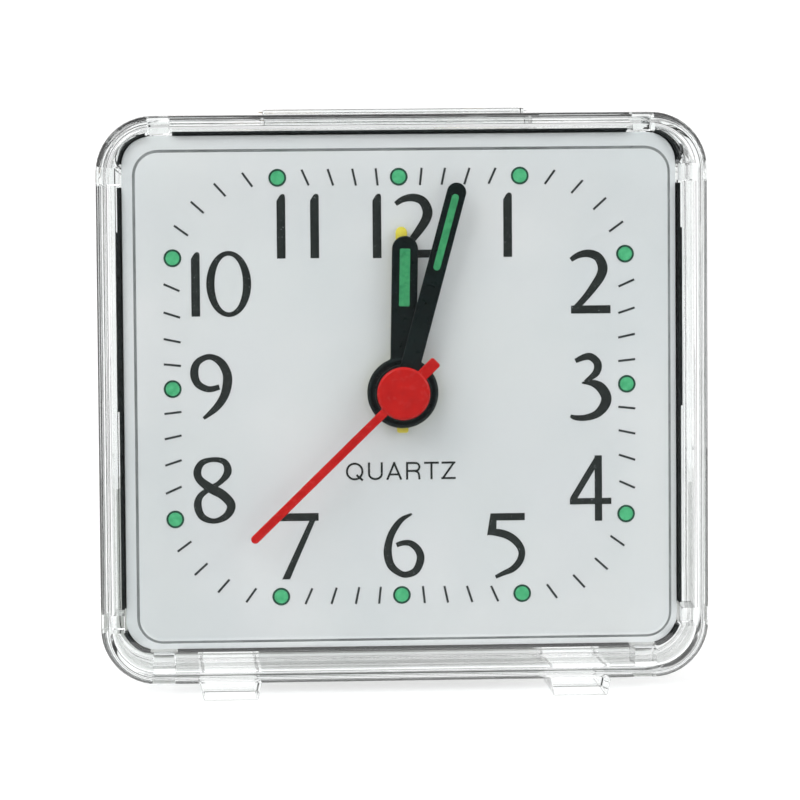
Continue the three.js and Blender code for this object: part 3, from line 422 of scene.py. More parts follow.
def ink(name, dark, light, specks):
    """Printing ink, a little uneven, with a few tiny light specks."""
    look = Look(name, Roughness=0.45)
    body = look.ramp(look.noise(0.5, 3), [(0.3, dark), (0.7, light)])
    if not specks:
        return look.set("Base Color", body).material
    dots = look.ramp(look.noise(0.13, 1), [(0.72, (0, 0, 0)), (0.78, (1, 1, 1))])
    mix = look.node("ShaderNodeMix", data_type="RGBA")
    look.links.new(dots, mix.inputs["Factor"])
    look.links.new(body, mix.inputs[6])
    mix.inputs[7].default_value = (0.35, 0.38, 0.38, 1)
    return look.set("Base Color", mix.outputs[2]).material


def copper_winding():
    """Fine enamelled wire laid side by side round the bobbin."""
    look = Look("copper_wire", Metallic=1.0, Roughness=0.28)
    look.set("Base Color", look.ramp(look.noise(0.6), [(0.3, (0.42, 0.12, 0.03)), (0.7, (0.72, 0.28, 0.09))]))
    turns = look.node("ShaderNodeTexWave", wave_type="BANDS", bands_direction="X", Scale=2.2)
    look.links.new(look.place(), turns.inputs["Vector"])
    return look.bump(turns.outputs["Fac"], 0.05).material


def circuit_board():
    """Green solder mask over copper tracks, which show as paler raised paths."""
    look = Look("circuit_board", Roughness=0.35)
    tracks = look.node("ShaderNodeTexBrick", Scale=0.22)
    tracks.inputs["Mortar Size"].default_value = 0.05
    tracks.inputs["Color1"].default_value = (0.015, 0.10, 0.03, 1)
    tracks.inputs["Color2"].default_value = (0.02, 0.13, 0.04, 1)
    tracks.inputs["Mortar"].default_value = (0.07, 0.30, 0.10, 1)
    look.links.new(look.place(), tracks.inputs["Vector"])
    look.set("Base Color", tracks.outputs["Color"])
    return look.bump(tracks.outputs["Fac"], 0.02).material


def cell_jacket():
    """Printed film round the cell: a pale body, a green band near the positive end, thin silver lines."""
    look = Look("cell_jacket", Roughness=0.3, Coat_Weight=0.4)
    low, high = corners("battery")
    split = look.node("ShaderNodeSeparateXYZ")
    look.links.new(look.place(), split.inputs["Vector"])
    along = look.span(split.outputs["X"], 0, 1, low.x, high.x)
    stops = [
        (0.0, (0.02, 0.16, 0.07)),
        (0.24, (0.02, 0.16, 0.07)),
        (0.245, (0.72, 0.74, 0.75)),
        (0.27, (0.72, 0.74, 0.75)),
        (0.275, (0.045, 0.05, 0.06)),
        (0.95, (0.045, 0.05, 0.06)),
        (0.955, (0.72, 0.74, 0.75)),
    ]
    look.set("Base Color", look.ramp(along, stops))
    return look.bump(look.noise(0.8, 2), 0.006).material


STEP_PAINTED_SHADE = step_painted_shade()
CLEAR = clear_plastic()
WHITE = moulded("white_plastic", (0.72, 0.72, 0.69), (0.80, 0.80, 0.775), (0.32, 0.45))
CARD = dial_card()
# Black plastic: the chip cap's own colour, and painted shade on the dial frame.
BLACK_AND_SHADE = moulded(
    "black_plastic",
    (0.002, 0.004, 0.004),
    (0.012, 0.016, 0.016),
    (0.2, 0.5),
    grain=0.5,
    relief=0.02,
    Specular_IOR_Level=0.25,
)
HAND_BLACK = moulded(
    "hand_black", (0.001, 0.005, 0.005), (0.004, 0.012, 0.012), (0.25, 0.4), grain=0.8, Specular_IOR_Level=0.2
)
HAND_RED = moulded(
    "hand_red", (0.50, 0.003, 0.002), (0.60, 0.007, 0.005), (0.2, 0.3), grain=1.0, Specular_IOR_Level=0.25
)
HAND_YELLOW = moulded("hand_yellow", (0.78, 0.66, 0.05), (0.88, 0.76, 0.09), (0.35, 0.45), grain=0.8)
LUME = ink("luminous_green", (0.045, 0.42, 0.17), (0.09, 0.56, 0.25), False)
STRIPE = ink("stripe_green", (0.016, 0.26, 0.09), (0.05, 0.40, 0.15), False)
DOT_RIM = ink("dot_rim", (0.006, 0.05, 0.03), (0.012, 0.09, 0.05), False)
PRINT = ink("print_black", (0.006, 0.011, 0.010), (0.012, 0.018, 0.016), True)
TICK = ink("print_grey", (0.022, 0.028, 0.03), (0.04, 0.046, 0.048), False)
NYLON = moulded("nylon", (0.74, 0.69, 0.56), (0.82, 0.78, 0.66), (0.35, 0.5))
BRASS = metal("brass", (0.60, 0.38, 0.12), (0.80, 0.56, 0.22), (0.22, 0.36))
STEEL = metal("steel", (0.42, 0.43, 0.45), (0.62, 0.63, 0.64), (0.2, 0.36), (0.15, 1, 1))
COPPER = copper_winding()
BOARD = circuit_board()
MAGNET = moulded("magnet", (0.03, 0.03, 0.033), (0.05, 0.05, 0.055), (0.3, 0.5), Metallic=0.6)
JACKET = cell_jacket()
RED_LEAD = moulded("red_lead", (0.35, 0.01, 0.01), (0.45, 0.02, 0.02), (0.35, 0.45))
BLACK_LEAD = moulded("black_lead", (0.008, 0.008, 0.009), (0.016, 0.016, 0.017), (0.35, 0.5))

# ---- Clear shells --------------------------------------------------------------------------------


def eased(start, corner, end, steps=4):
    """(inset, y) points of a quarter round from start to end, where corner is the sharp corner between."""
    points = []
    for step in range(steps + 1):
        t = math.radians(90 * step / steps)
        near, far = 1 - math.sin(t), 1 - math.cos(t)
        points.append(tuple(c + (s - c) * near + (e - c) * far for s, c, e in zip(start, corner, end)))
    return points


def foot(x, front, rear):
    """A foot tapers towards the table and is joined to the shell's bottom wall."""
    low_half, high_half = FOOT[1:]
    outline = [
        (x - low_half, 0.0),
        (x + low_half, 0.0),
        (x + high_half, FOOT_HEIGHT + 0.4),
        (x - high_half, FOOT_HEIGHT + 0.4),
    ]
    return prism(outline, front, rear, 0.18)


def posts():
    """Eight posts that centre the dial frame: a top one and a side one near each corner."""
    made = []
    offset, half = TOP_POST
    reach = DIAL_HEIGHT / 2 + 0.15
    wall = (CASE_HEIGHT - WALL) / 2
    for x in (-offset, offset):
        for level in (-1, 1):
            low, high = sorted((DIAL_CENTRE[1] + level * reach, MIDDLE + level * wall))
            made.append(block(x - half, x + half, *POST_DEPTH, low, high, 0.12))
    offset, half = SIDE_POST
    reach = DIAL_WIDTH / 2 + 0.15
    wall = (CASE_WIDTH - WALL) / 2
    for z in (MIDDLE - offset, MIDDLE + offset):
        for side in (-1, 1):
            left, right = sorted((DIAL_CENTRE[0] + side * reach, side * wall))
            made.append(block(left, right, *POST_DEPTH, z - half, z + half, 0.12))
    return made


def front_cover():
    face, rim, back, inside = WINDOW_FACE, RIM_FACE, COVER_BACK, WINDOW_INSIDE
    draft = 0.12
    window = [(1.2, face), (0.5, face)]
    window += eased((draft + 0.15, face), (draft, face), (draft * 0.7, face + 0.12))
    window += eased((draft * 0.2, rim - 0.08), (0, rim), (-0.1, rim))
    edge = [(EDGE_ROUND + 0.3, rim)]
    edge += eased((EDGE_ROUND, rim), (0, rim), (0, rim + EDGE_ROUND), 8)
    edge += eased((0, back - 0.1), (0, back), (0.1, back))
    edge += eased((WALL - 0.1, back), (WALL, back), (WALL, back - 0.1))
    edge += eased((WALL, inside + 0.5), (WALL, inside), (WALL + 0.5, inside), 6)
    edge += [(WALL + 1, inside)]
    shell = lofted([window_ring(*p) for p in window] + [case_ring(*p) for p in edge])
    added = posts()
    cut = []
    for side in (-1, 1):
        centre = (side * SCREW[0], SCREW[1])
        added.append(turned([(1.9, -10), (2.0, -9.9), (2.0, -5.7), (1.9, -5.6)], centre, 40))
        cut.append(turned([(0.95, -9.2), (0.95, -5)], centre, 32))
        added.append(foot(side * FOOT[0], *FRONT_FOOT))
    return combined(shell, added, cut)


def rear_shell():
    front, back, inside = REAR_FRONT, REAR_FACE, REAR_INSIDE
    profile = [(3, back), (EDGE_ROUND + 0.3, back)]
    profile += eased((EDGE_ROUND, back), (0, back), (0, back - EDGE_ROUND), 8)
    profile += eased((0, front + 0.1), (0, front), (0.1, front))
    profile += [(SEAM_LIP, front), (SEAM_LIP, front - 1.4), (SEAM_LIP + 0.1, front - 1.5)]
    profile += [(WALL + 0.7, front - 1.5), (WALL + 0.8, front - 1.4), (WALL + 0.8, front + 1.2)]
    profile += [(WALL, front + 1.7)]
    profile += eased((WALL, inside - 0.5), (WALL, inside), (WALL + 0.5, inside), 6)
    profile += [(WALL + 2, inside)]
    return lofted([case_ring(*p) for p in profile])


def pillar(centre):
    """A round pillar for a case screw, kept inside the shell's corner."""
    made = turned([(2.4, REAR_FRONT - 1.5), (2.5, REAR_FRONT - 1.4), (2.5, REAR_FACE - 0.5)], centre, 48)
    inner = prism(
        rounded(CASE_WIDTH - 2 * SEAM_LIP, CASE_HEIGHT - 2 * SEAM_LIP, CASE_CORNER - SEAM_LIP),
        REAR_FRONT - 3,
        REAR_FACE,
    )
    return combined(made, kept=[inner])


def sound_slots():
    """Five slots in front of the buzzer, the middle one the longest."""
    made = []
    for step, half in ((-2, 2.6), (-1, 4), (0, 4.6), (1, 4), (2, 2.6)):
        centre = (BUZZER[0] + step * 2.6, BUZZER[1])
        made.append(prism(rounded(1.2, 2 * half, 0.58, 8, centre), REAR_INSIDE - 1, REAR_FACE + 1))
    return made


def switch_slot():
    left, right = SWITCH[0] - 2.5, SWITCH[0] + 5.5
    centre = ((left + right) / 2, SWITCH[1])
    return prism(rounded(right - left, 3.2, 0.4, 6, centre), REAR_INSIDE - 1, REAR_FACE + 1)


def rear_case():
    behind = (REAR_INSIDE - 1, REAR_FACE + 1)
    added = [turned([(10.2, 9.6), (10.2, REAR_INSIDE + 0.2)], BUZZER, 72)]
    cut = [
        turned([(9.4, 8), (9.4, 10.4)], BUZZER, 72),
        turned([(8.2, 9), (8.2, REAR_INSIDE)], BUZZER, 72),
        switch_slot(),
        *sound_slots(),
        block(-DOOR[0] - 0.2, DOOR[0] + 0.2, REAR_INSIDE - 0.5, REAR_FACE + 1, DOOR[1] - 0.2, DOOR[2] + 0.2),
        block(-13.1, 13.1, -1.3, 7.1, MIDDLE + 25.5, MIDDLE + 28),
    ]
    left, right = SWITCH[0] - 5.5, SWITCH[0] + 8.5
    for level in (-3.2, 3.2):
        z = SWITCH[1] + level
        added.append(block(left, right, 11.4, REAR_INSIDE + 0.2, z - 0.35, z + 0.35, 0.1))
    for knob in KNOBS.values():
        cut.append(turned([(1.2, behind[0]), (1.2, REAR_FACE - 0.2), (1.5, behind[1])], knob, 40))
    for side in (-1, 1):
        centre = (side * SCREW[0], SCREW[1])
        added.append(pillar(centre))
        cut.append(turned([(1.0, -8), (1.0, 0)], centre, 32))
        cut.append(turned([(1.9, -1.2), (1.9, REAR_FACE - 0.3), (2.2, REAR_FACE + 0.1)], centre, 48))
        added.append(foot(side * FOOT[0], *REAR_FOOT))
    return combined(rear_shell(), added, cut)


def battery_door():
    """A flat panel with rounded edges, three thumb ribs and two hooks under its lower edge."""
    half, low, high = DOOR
    panel = block(-half, half, REAR_INSIDE, REAR_FACE, low, high, 0.15)
    added = []
    for x in (-13, 13):
        added.append(block(x - 2.5, x + 2.5, 12.2, REAR_INSIDE + 0.1, low + 0.05, low + 0.9))
        added.append(block(x - 2.5, x + 2.5, 12.2, 12.75, low - 0.9, low + 0.5, 0.06))
    for step in range(3):
        z = high - 1.2 - 1.3 * step
        outline = rounded(8, 0.6, 0.28, 6, (0, z))
        added.append(prism(outline, REAR_FACE - 0.2, REAR_FACE + 0.3, 0.12, 2))
    return combined(panel, added)


def stop_bar():
    """The key on top: a soft-edged cap, a flange that keeps it in, and a stem that works the contact."""
    low, high = (corner.z for corner in corners("stop_bar"))
    ledge = MIDDLE + 25
    cap = block(-12.8, 12.8, -1, 6.8, ledge, high, 0.2)
    flange = block(-13.8, 13.8, -2, 7.8, ledge, ledge + 0.8, 0.08)
    stem = block(7, 9, 2, 4, low, ledge + 0.1)
    return combined(cap, [flange, stem])


def alarm_switch():
    x, z = SWITCH
    flange = block(x - 4.6, x + 4.6, 12.1, REAR_INSIDE - 0.1, z - 2.5, z + 2.5, 0.1)
    grip = block(x - 2.3, x + 2.3, 12.5, REAR_FACE + 1.2, z - 1.4, z + 1.4, 0.25)
    grooves = []
    for step in (-1, 0, 1):
        at = x + 1.2 * step
        grooves.append(block(at - 0.25, at + 0.25, REAR_FACE + 0.9, REAR_FACE + 2, z - 2, z + 2))
    return combined(flange, [grip], grooves)


def knob_outline(centre):
    """A round rim with twenty soft flutes."""
    points = []
    steps = 240
    for step in range(steps):
        t = 2 * math.pi * step / steps
        radius = 5 - 0.35 * (0.5 + 0.5 * math.cos(20 * t)) ** 2
        points.append((centre[0] + radius * math.cos(t), centre[1] + radius * math.sin(t)))
    return points


def knob_arrow(centre):
    """A raised curved arrow: the way to turn the knob."""
    points = []
    turns = [math.radians(a) for a in range(30, 151, 10)]
    points += [(2.95 * math.cos(t), 2.95 * math.sin(t)) for t in turns]
    points += [(3.3 * math.cos(math.radians(150)), 3.3 * math.sin(math.radians(150)))]
    points += [(2.62 * math.cos(math.radians(178)), 2.62 * math.sin(math.radians(178)))]
    points += [(1.95 * math.cos(math.radians(150)), 1.95 * math.sin(math.radians(150)))]
    points += [(2.3 * math.cos(t), 2.3 * math.sin(t)) for t in reversed(turns)]
    return [(centre[0] + x, centre[1] + z) for x, z in points]


def knob(centre, arrow_turn):
    front, rear = KNOB_FACE, KNOB_FACE + 2
    body = prism(knob_outline(centre), front, rear, 0.22)
    hollow = turned([(3.4, rear - 0.6), (3.75, rear + 0.3)], centre, 72)
    hub = turned([(1.7, front + 0.2), (1.7, rear - 0.2), (1.55, rear - 0.1)], centre, 48)
    arrow = spun(prism(knob_arrow(centre), rear - 0.8, rear - 0.35, 0.05, 2), arrow_turn, centre)
    bore = turned([(0.85, front - 1), (0.85, front + 1)], centre, 32)
    hollowed = combined(body, cut=[hollow])
    return combined(hollowed, [hub, arrow], [bore])


cover = piece("clear_front_cover", front_cover(), CLEAR, "case", "clear_plastic", ["front_cover"])
# The step faces round the window get the dark step material: painted shade.
cover.data.materials.append(STEP_PAINTED_SHADE)
for face in cover.data.polygons:
    if WINDOW_FACE + 0.01 < face.center.y / MM < RIM_FACE - 0.01:
        face.material_index = 1
piece("clear_rear_case", rear_case(), CLEAR, "case", "clear_plastic", ["rear_case"])
piece("clear_battery_door", battery_door(), CLEAR, "door", "clear_plastic", ["battery_door"])
piece("clear_stop_bar", stop_bar(), CLEAR, "bar", "clear_plastic", ["stop_bar"])
piece("alarm_switch_slider", alarm_switch(), WHITE, "switch", "white_plastic", ["alarm_switch"])
piece("time_knob_cap", knob(KNOBS["time_knob"], 0), WHITE, "time_setting", "white_plastic", ["time_knob"])
piece("alarm_knob_cap", knob(KNOBS["alarm_knob"], 0), WHITE, "alarm_setting", "white_plastic", ["alarm_knob"])

# ---- Dial and its frame --------------------------------------------------------------------------


def dial_outline(margin):
    size = (DIAL_WIDTH + 2 * margin, DIAL_HEIGHT + 2 * margin, DIAL_CORNER + margin)
    return rounded(*size, centre=DIAL_CENTRE)


def dial():
    plate = prism(dial_outline(0), DIAL_FACE, DIAL_HIGH.y, 0.06, 2)
    return combined(plate, cut=[turned([(2.9, -13), (2.9, -9)], SHAFT, 64)])


def post_notches():
    """Gaps that let the posts of the front cover pass the frame."""
    made = []
    inner = (DIAL_WIDTH / 2 - 0.1, DIAL_HEIGHT / 2 - 0.1)
    for side in (-1, 1):
        half = TOP_POST[1] + 0.25
        x = side * TOP_POST[0]
        for low, high in ((DIAL_CENTRE[1] + inner[1], 90), (-30, DIAL_CENTRE[1] - inner[1])):
            made.append(block(x - half, x + half, -20, 0, low, high))
        half = SIDE_POST[1] + 0.25
        z = MIDDLE + side * SIDE_POST[0]
        for left, right in ((DIAL_CENTRE[0] + inner[0], 60), (-60, DIAL_CENTRE[0] - inner[0])):
            made.append(block(left, right, -20, 0, z - half, z + half))
    return made


def dial_frame():
    """A narrow frame with a lip round the dial, wider beside the movement's upper half. Its black is painted
    shade for the dark gap round the dial, so its bottom run is cut down to a thin strip where more light gets
    in.
    """
    front, rear = FRAME_LOW.y, FRAME_HIGH.y
    low, high = MIDDLE - 1.2, MIDDLE + 15.9
    inner, outer = DIAL_WIDTH / 2 + 0.3, DIAL_WIDTH / 2 + FRAME_MARGIN + 0.15
    tabs = []
    for side in (-1, 1):
        left, right = sorted(DIAL_CENTRE[0] + side * reach for reach in (inner, outer))
        tabs.append(block(left, right, front, rear, low, high, 0.06))
    opening = rounded(50.3, 46.7, 2, centre=DIAL_CENTRE)
    cut = [
        prism(dial_outline(0.15), front - 1, DIAL_HIGH.y + 0.05),
        prism(opening, -20, 0),
        # Cuts the bottom run down to a thin strip: less painted shade where more light reaches the gap.
        block(-40, 40, -20, 0, -30, DIAL_LOW.z - 0.25),
        *post_notches(),
    ]
    return combined(prism(dial_outline(FRAME_MARGIN), front, rear, 0.1, 2), tabs, cut)


piece("dial_card", dial(), CARD, "case", "dial_card", ["dial_plate"])
# The black of this frame is painted shade for the dark gap round the dial.
piece("dial_surround_painted_shade", dial_frame(), BLACK_AND_SHADE, "case", "black_plastic", ["dial_frame"])

# ---- Print on the dial ---------------------------------------------------------------------------


def smoothed(points, steps=6, closed=False):
    """A smooth line through points, each a tuple of any length."""
    count = len(points)
    made = []
    spans = count if closed else count - 1

    def at(i):
        return points[i % count] if closed else points[max(0, min(i, count - 1))]

    for i in range(spans):
        for step in range(steps):
            t = step / steps
            weights = (
                (-t + 2 * t ** 2 - t ** 3) / 2,
                (2 - 5 * t ** 2 + 3 * t ** 3) / 2,
                (t + 4 * t ** 2 - 3 * t ** 3) / 2,
                (t ** 3 - t ** 2) / 2,
            )
            near = [at(i - 1), at(i), at(i + 1), at(i + 2)]
            made.append(tuple(sum(w * p[k] for w, p in zip(weights, near)) for k in range(len(near[0]))))
    made.append(at(spans))
    return made


def stroke(line):
    """A pen stroke along (x, z, width) points, as four-cornered shapes in a row."""
    edges = []
    for i, (x, z, width) in enumerate(line):
        ahead, behind = line[min(i + 1, len(line) - 1)], line[max(i - 1, 0)]
        if line[0][:2] == line[-1][:2]:
            ahead = line[i + 1] if i + 1 < len(line) else line[1]
            behind = line[i - 1] if i > 0 else line[-2]
        along = Vector((ahead[0] - behind[0], ahead[1] - behind[1])).normalized()
        across = Vector((-along.y, along.x)) * width / 2
        edges.append(((x + across.x, z + across.y), (x - across.x, z - across.y)))
    return [[a[0], a[1], b[1], b[0]] for a, b in zip(edges, edges[1:])]


def oval(centre, half_width, half_height, thick_side, thick_end, steps=48):
    """A closed oval stroke, thicker at its sides than at its ends."""
    line = []
    for step in range(steps + 1):
        t = 2 * math.pi * (step % steps) / steps
        width = thick_end + (thick_side - thick_end) * math.cos(t) ** 2
        line.append((centre[0] + half_width * math.cos(t), centre[1] + half_height * math.sin(t), width))
    return stroke(line)


def bar(left, right, low, high):
    return [[(left, low), (right, low), (right, high), (left, high)]]


def line_stroke(width, *points):
    """Straight strokes of one width; where two meet, each runs on by half a width."""
    made = []
    for start, end in zip(points, points[1:]):
        along = (Vector(end) - Vector(start)).normalized() * width / 2
        begin = Vector(start) - (along if start != points[0] else along * 0)
        finish = Vector(end) + (along if end != points[-1] else along * 0)
        made += stroke([(*begin, width), (*finish, width)])
    return made


# Numerals: strokes from the lower left corner of each numeral, which is about 6.3 high.
TWO = [
    (0.2, 5.15, 0.45), (0.95, 5.6, 0.6), (1.9, 5.75, 0.75), (2.8, 5.4, 0.85), (3.25, 4.5, 0.95),
    (3.1, 3.65, 0.9), (2.5, 2.7, 0.8), (1.65, 1.6, 0.65), (0.6, 0.45, 0.6),
]
THREE_TOP = [
    (0.65, 5.7, 0.45), (1.45, 6.05, 0.6), (2.1, 6.1, 0.7), (2.7, 5.6, 0.75), (2.8, 5.0, 0.75),
    (2.5, 4.4, 0.65), (1.55, 3.7, 0.3),
]
THREE_BOTTOM = [
    (1.25, 3.6, 0.15), (2.3, 3.55, 0.65), (3.1, 3.1, 0.95), (3.6, 2.2, 1.0), (3.4, 1.35, 0.95),
    (2.7, 0.6, 0.75), (1.65, 0.25, 0.6), (0.65, 0.25, 0.5), (0.15, 0.45, 0.3),
]
FIVE = [
    (0.2, 4.4, 0.4), (0.9, 4.45, 0.7), (1.75, 4.25, 0.75), (2.55, 3.8, 0.75), (3.15, 3.1, 0.7),
    (3.35, 2.4, 0.65), (3.1, 1.6, 0.65), (2.45, 0.9, 0.6), (1.55, 0.5, 0.45), (0.8, 0.15, 0.35),
]
SIX = [
    (2.75, 6.15, 0.2), (1.75, 5.6, 0.5), (1.0, 4.65, 0.65), (0.55, 3.6, 0.7), (0.4, 2.35, 0.8),
    (0.7, 1.2, 0.75), (1.45, 0.5, 0.6), (2.2, 0.3, 0.6), (3.1, 0.7, 0.7), (3.55, 1.8, 0.75),
    (3.3, 2.7, 0.7), (2.6, 3.3, 0.6), (1.85, 3.35, 0.5), (1.25, 3.15, 0.45),
]
EIGHT = [
    (1.9, 6.15, 0.45), (0.85, 5.85, 0.6), (0.4, 5.0, 0.75), (0.65, 4.2, 0.75), (1.65, 3.4, 0.9),
    (2.8, 2.75, 0.9), (3.6, 1.75, 0.85), (3.15, 0.75, 0.7), (2.0, 0.25, 0.5), (0.85, 0.65, 0.65),
    (0.4, 1.7, 0.75), (0.65, 2.65, 0.6), (1.55, 3.35, 0.5), (2.6, 4.0, 0.5), (3.3, 4.95, 0.75),
    (3.0, 5.9, 0.6),
]
NINE = [
    (2.8, 3.15, 0.5), (1.75, 2.95, 0.6), (0.75, 3.45, 0.7), (0.4, 4.5, 0.8), (0.75, 5.55, 0.65),
    (1.85, 6.05, 0.55), (2.9, 5.55, 0.75), (3.5, 4.5, 0.85), (3.55, 3.45, 0.9), (3.2, 2.2, 0.8),
    (2.4, 1.1, 0.65), (1.25, 0.15, 0.3),
]
DIGITS = {
    "0": oval((2.13, 3.18), 1.75, 2.93, 0.78, 0.45),
    "1": [[(0, 0), (0.83, 0), (0.83, 5.95), (0.72, 6.12), (0.52, 6.15), (0.32, 6.02), (0, 5.5)]],
    "2": stroke(smoothed(TWO)) + bar(0.2, 4.0, 0, 0.77),
    "3": stroke(smoothed(THREE_TOP)) + stroke(smoothed(THREE_BOTTOM)),
    "4": bar(2.4, 3.1, 0, 6.3) + stroke([(2.75, 6.1, 0.62), (0.3, 2.1, 0.62)]) + bar(0, 4.0, 1.6, 2.2),
    "5": bar(0.35, 3.65, 5.6, 6.3)
    + [[(0.35, 6.3), (0, 4.15), (0.9, 4.5), (0.95, 6.3)]]
    + stroke(smoothed(FIVE)),
    "6": stroke(smoothed(SIX)),
    "7": bar(0, 3.75, 5.6, 6.35) + [[(3.75, 6.35), (2.9, 5.7), (0.2, 0), (0.95, 0)]],
    "8": stroke(smoothed(EIGHT, closed=True)),
    "9": stroke(smoothed(NINE)),
}

# Lower left corner of each digit, from the middle of the case.
NUMERALS = [
    ("1", -2.45, 13.0), ("2", -0.45, 13.0), ("1", 10.05, 13.0), ("2", 16.3, 7.5), ("3", 16.25, -2.75),
    ("4", 16.3, -12.45), ("5", 8.3, -17.9), ("6", -1.65, -17.7), ("7", -11.6, -17.7),
    ("8", -19.8, -12.25), ("9", -20.0, -2.3), ("1", -19.8, 7.6), ("0", -18.35, 7.5),
    ("1", -11.6, 13.05), ("1", -8.4, 13.05),
]

# The kind of movement, in plain capitals: strokes from the lower left corner of each letter.
PEN = 0.2
CAPITAL = 1.69
LETTERS = [
    (0, oval((0.84, 0.84), 0.74, 0.75, PEN, PEN) + line_stroke(PEN, (1.02, 0.5), (1.62, -0.03))),
    (
        2.12,
        line_stroke(PEN, (0.1, CAPITAL), (0.1, 0.58))
        + stroke([(0.71 - 0.61 * math.cos(t), 0.6 - 0.51 * math.sin(t), PEN)
                  for t in [math.radians(15 * s) for s in range(13)]])
        + line_stroke(PEN, (1.32, 0.58), (1.32, CAPITAL)),
    ),
    (3.88, line_stroke(PEN, (0.08, 0), (0.75, 1.6), (1.42, 0)) + bar(0.3, 1.2, 0.42, 0.6)),
    (
        5.77,
        bar(0, PEN, 0, CAPITAL)
        + bar(0.1, 0.9, CAPITAL - PEN, CAPITAL)
        + bar(0.1, 0.9, 0.73, 0.93)
        + stroke([(0.9 + 0.38 * math.sin(t), 1.21 + 0.38 * math.cos(t), PEN)
                  for t in [math.radians(15 * s) for s in range(13)]])
        + stroke(smoothed([(0.85, 0.83, PEN), (1.18, 0.62, PEN), (1.28, 0, PEN)])),
    ),
    (7.5, bar(0, 1.42, CAPITAL - PEN, CAPITAL) + bar(0.61, 0.81, 0, CAPITAL)),
    (
        9.15,
        bar(0.03, 1.37, CAPITAL - PEN, CAPITAL)
        + bar(0, 1.38, 0, PEN)
        + stroke([(1.24, CAPITAL - 0.06, PEN), (0.13, 0.06, PEN)]),
    ),
]


def printed(name, shapes, material, thick=PRINT_THICK):
    """Flat shapes that may overlap, as one thin layer on the face of the dial."""
    points, faces = [], []
    for shape in shapes:
        area = sum(a[0] * b[1] - b[0] * a[1] for a, b in zip(shape, shape[1:] + shape[:1]))
        order = shape if area > 0 else shape[::-1]
        faces.append(list(range(len(points), len(points) + len(order))))
        points += [Vector(point) for point in order]
    found = delaunay_2d_cdt(points, [], faces, 1, 1e-5)
    triangles = [t for t, source in zip(found[2], found[5]) if source]
    made = bmesh.new()
    layers = []
    for y in (DIAL_FACE - thick, DIAL_FACE):
        layers.append([made.verts.new((p.x, y, p.y)) for p in found[0]])
    front, back = layers
    for triangle in triangles:
        made.faces.new([front[i] for i in triangle])
        made.faces.new([back[i] for i in reversed(triangle)])
    sides = {(t[k], t[(k + 1) % 3]) for t in triangles for k in range(3)}
    for i, j in sides:
        if (j, i) not in sides:
            made.faces.new((front[j], front[i], back[i], back[j]))
    loose = [v for v in made.verts if not v.link_faces]
    bmesh.ops.delete(made, geom=loose, context="VERTS")
    return piece(name, made, material, "case")


def on_track(degrees):
    """The point of the minute track, a rounded rectangle, that lies at an angle from twelve."""
    half_width, half_height, corner = TRACK
    t = math.radians(degrees)
    aim = (abs(math.sin(t)), abs(math.cos(t)))
    reach = min(half_width / max(aim[0], 1e-9), half_height / max(aim[1], 1e-9))
    centre = (half_width - corner, half_height - corner)
    if aim[0] * reach > centre[0] and aim[1] * reach > centre[1]:
        middle = aim[0] * centre[0] + aim[1] * centre[1]
        square = centre[0] ** 2 + centre[1] ** 2 - corner ** 2
        reach = middle + math.sqrt(middle ** 2 - square)
    return math.sin(t) * reach, math.cos(t) * reach


def placed(shapes, x, z):
    return [[(a + x, b + z) for a, b in shape] for shape in shapes]


TRACK = (21.75, 20.05, 9.0)
TICK_LENGTH = 1.65
TICK_WIDTH = 0.21
DOT_RADIUS = 0.85
DOT_EDGE = 0.2


def ticks():
    made = []
    for minute in range(60):
        if minute % 5:
            x, z = on_track(6 * minute)
            away = Vector((x, z)).normalized() * TICK_LENGTH / 2
            line = [(x - away.x, z - away.y, TICK_WIDTH), (x + away.x, z + away.y, TICK_WIDTH)]
            made += placed(stroke(line), *PRINT_CENTRE)
    return made


def dots(radius):
    return [placed([circle(radius, on_track(30 * hour), 40)], *PRINT_CENTRE)[0] for hour in range(12)]


def dot_rims():
    made = []
    middle = DOT_RADIUS - DOT_EDGE / 2
    for hour in range(12):
        made += placed(oval(on_track(30 * hour), middle, middle, DOT_EDGE, DOT_EDGE), *PRINT_CENTRE)
    return made


across, up = PRINT_OFFSET
numerals = [
    shape for digit, x, z in NUMERALS for shape in placed(DIGITS[digit], x + across, MIDDLE + z + up)
]
word = [shape for x, letter in LETTERS for shape in placed(letter, WORD[0] + across + x, WORD[1] + up)]
printed("dial_numerals", numerals, PRINT)
printed("dial_movement_word", word, PRINT)
printed("dial_minute_ticks", ticks(), TICK)
printed("dial_hour_dots", dots(DOT_RADIUS - DOT_EDGE / 2), LUME)
printed("dial_dot_rims", dot_rims(), DOT_RIM, 1.5 * PRINT_THICK)

# ---- Hands ---------------------------------------------------------------------------------------


def hand_outline(length, half, hub, tail=0.0, tail_half=0.0):
    """A bar with a round tip on a round hub, pointing up from the shaft, with a short tail if given."""
    points = [(half * math.cos(t), length - half + half * math.sin(t))
              for t in [math.radians(10 * s) for s in range(19)]]
    start = 180 - math.degrees(math.acos(half / hub))
    stop = 540 - start
    if tail:
        edge = 90 - math.degrees(math.acos(tail_half / hub))
        points += arc_points(hub, start, 270 - edge)
        points += [(-tail_half, -tail + 0.15), (-tail_half + 0.15, -tail)]
        points += [(tail_half - 0.15, -tail), (tail_half, -tail + 0.15)]
        points += arc_points(hub, 270 + edge, stop)
    else:
        points += arc_points(hub, start, stop)
    return [(SHAFT[0] + x, SHAFT[1] + z) for x, z in points]


def arc_points(radius, start, stop, step=4):
    count = max(2, round((stop - start) / step))
    turns = [math.radians(start + (stop - start) * s / count) for s in range(count + 1)]
    return [(radius * math.cos(t), radius * math.sin(t)) for t in turns]


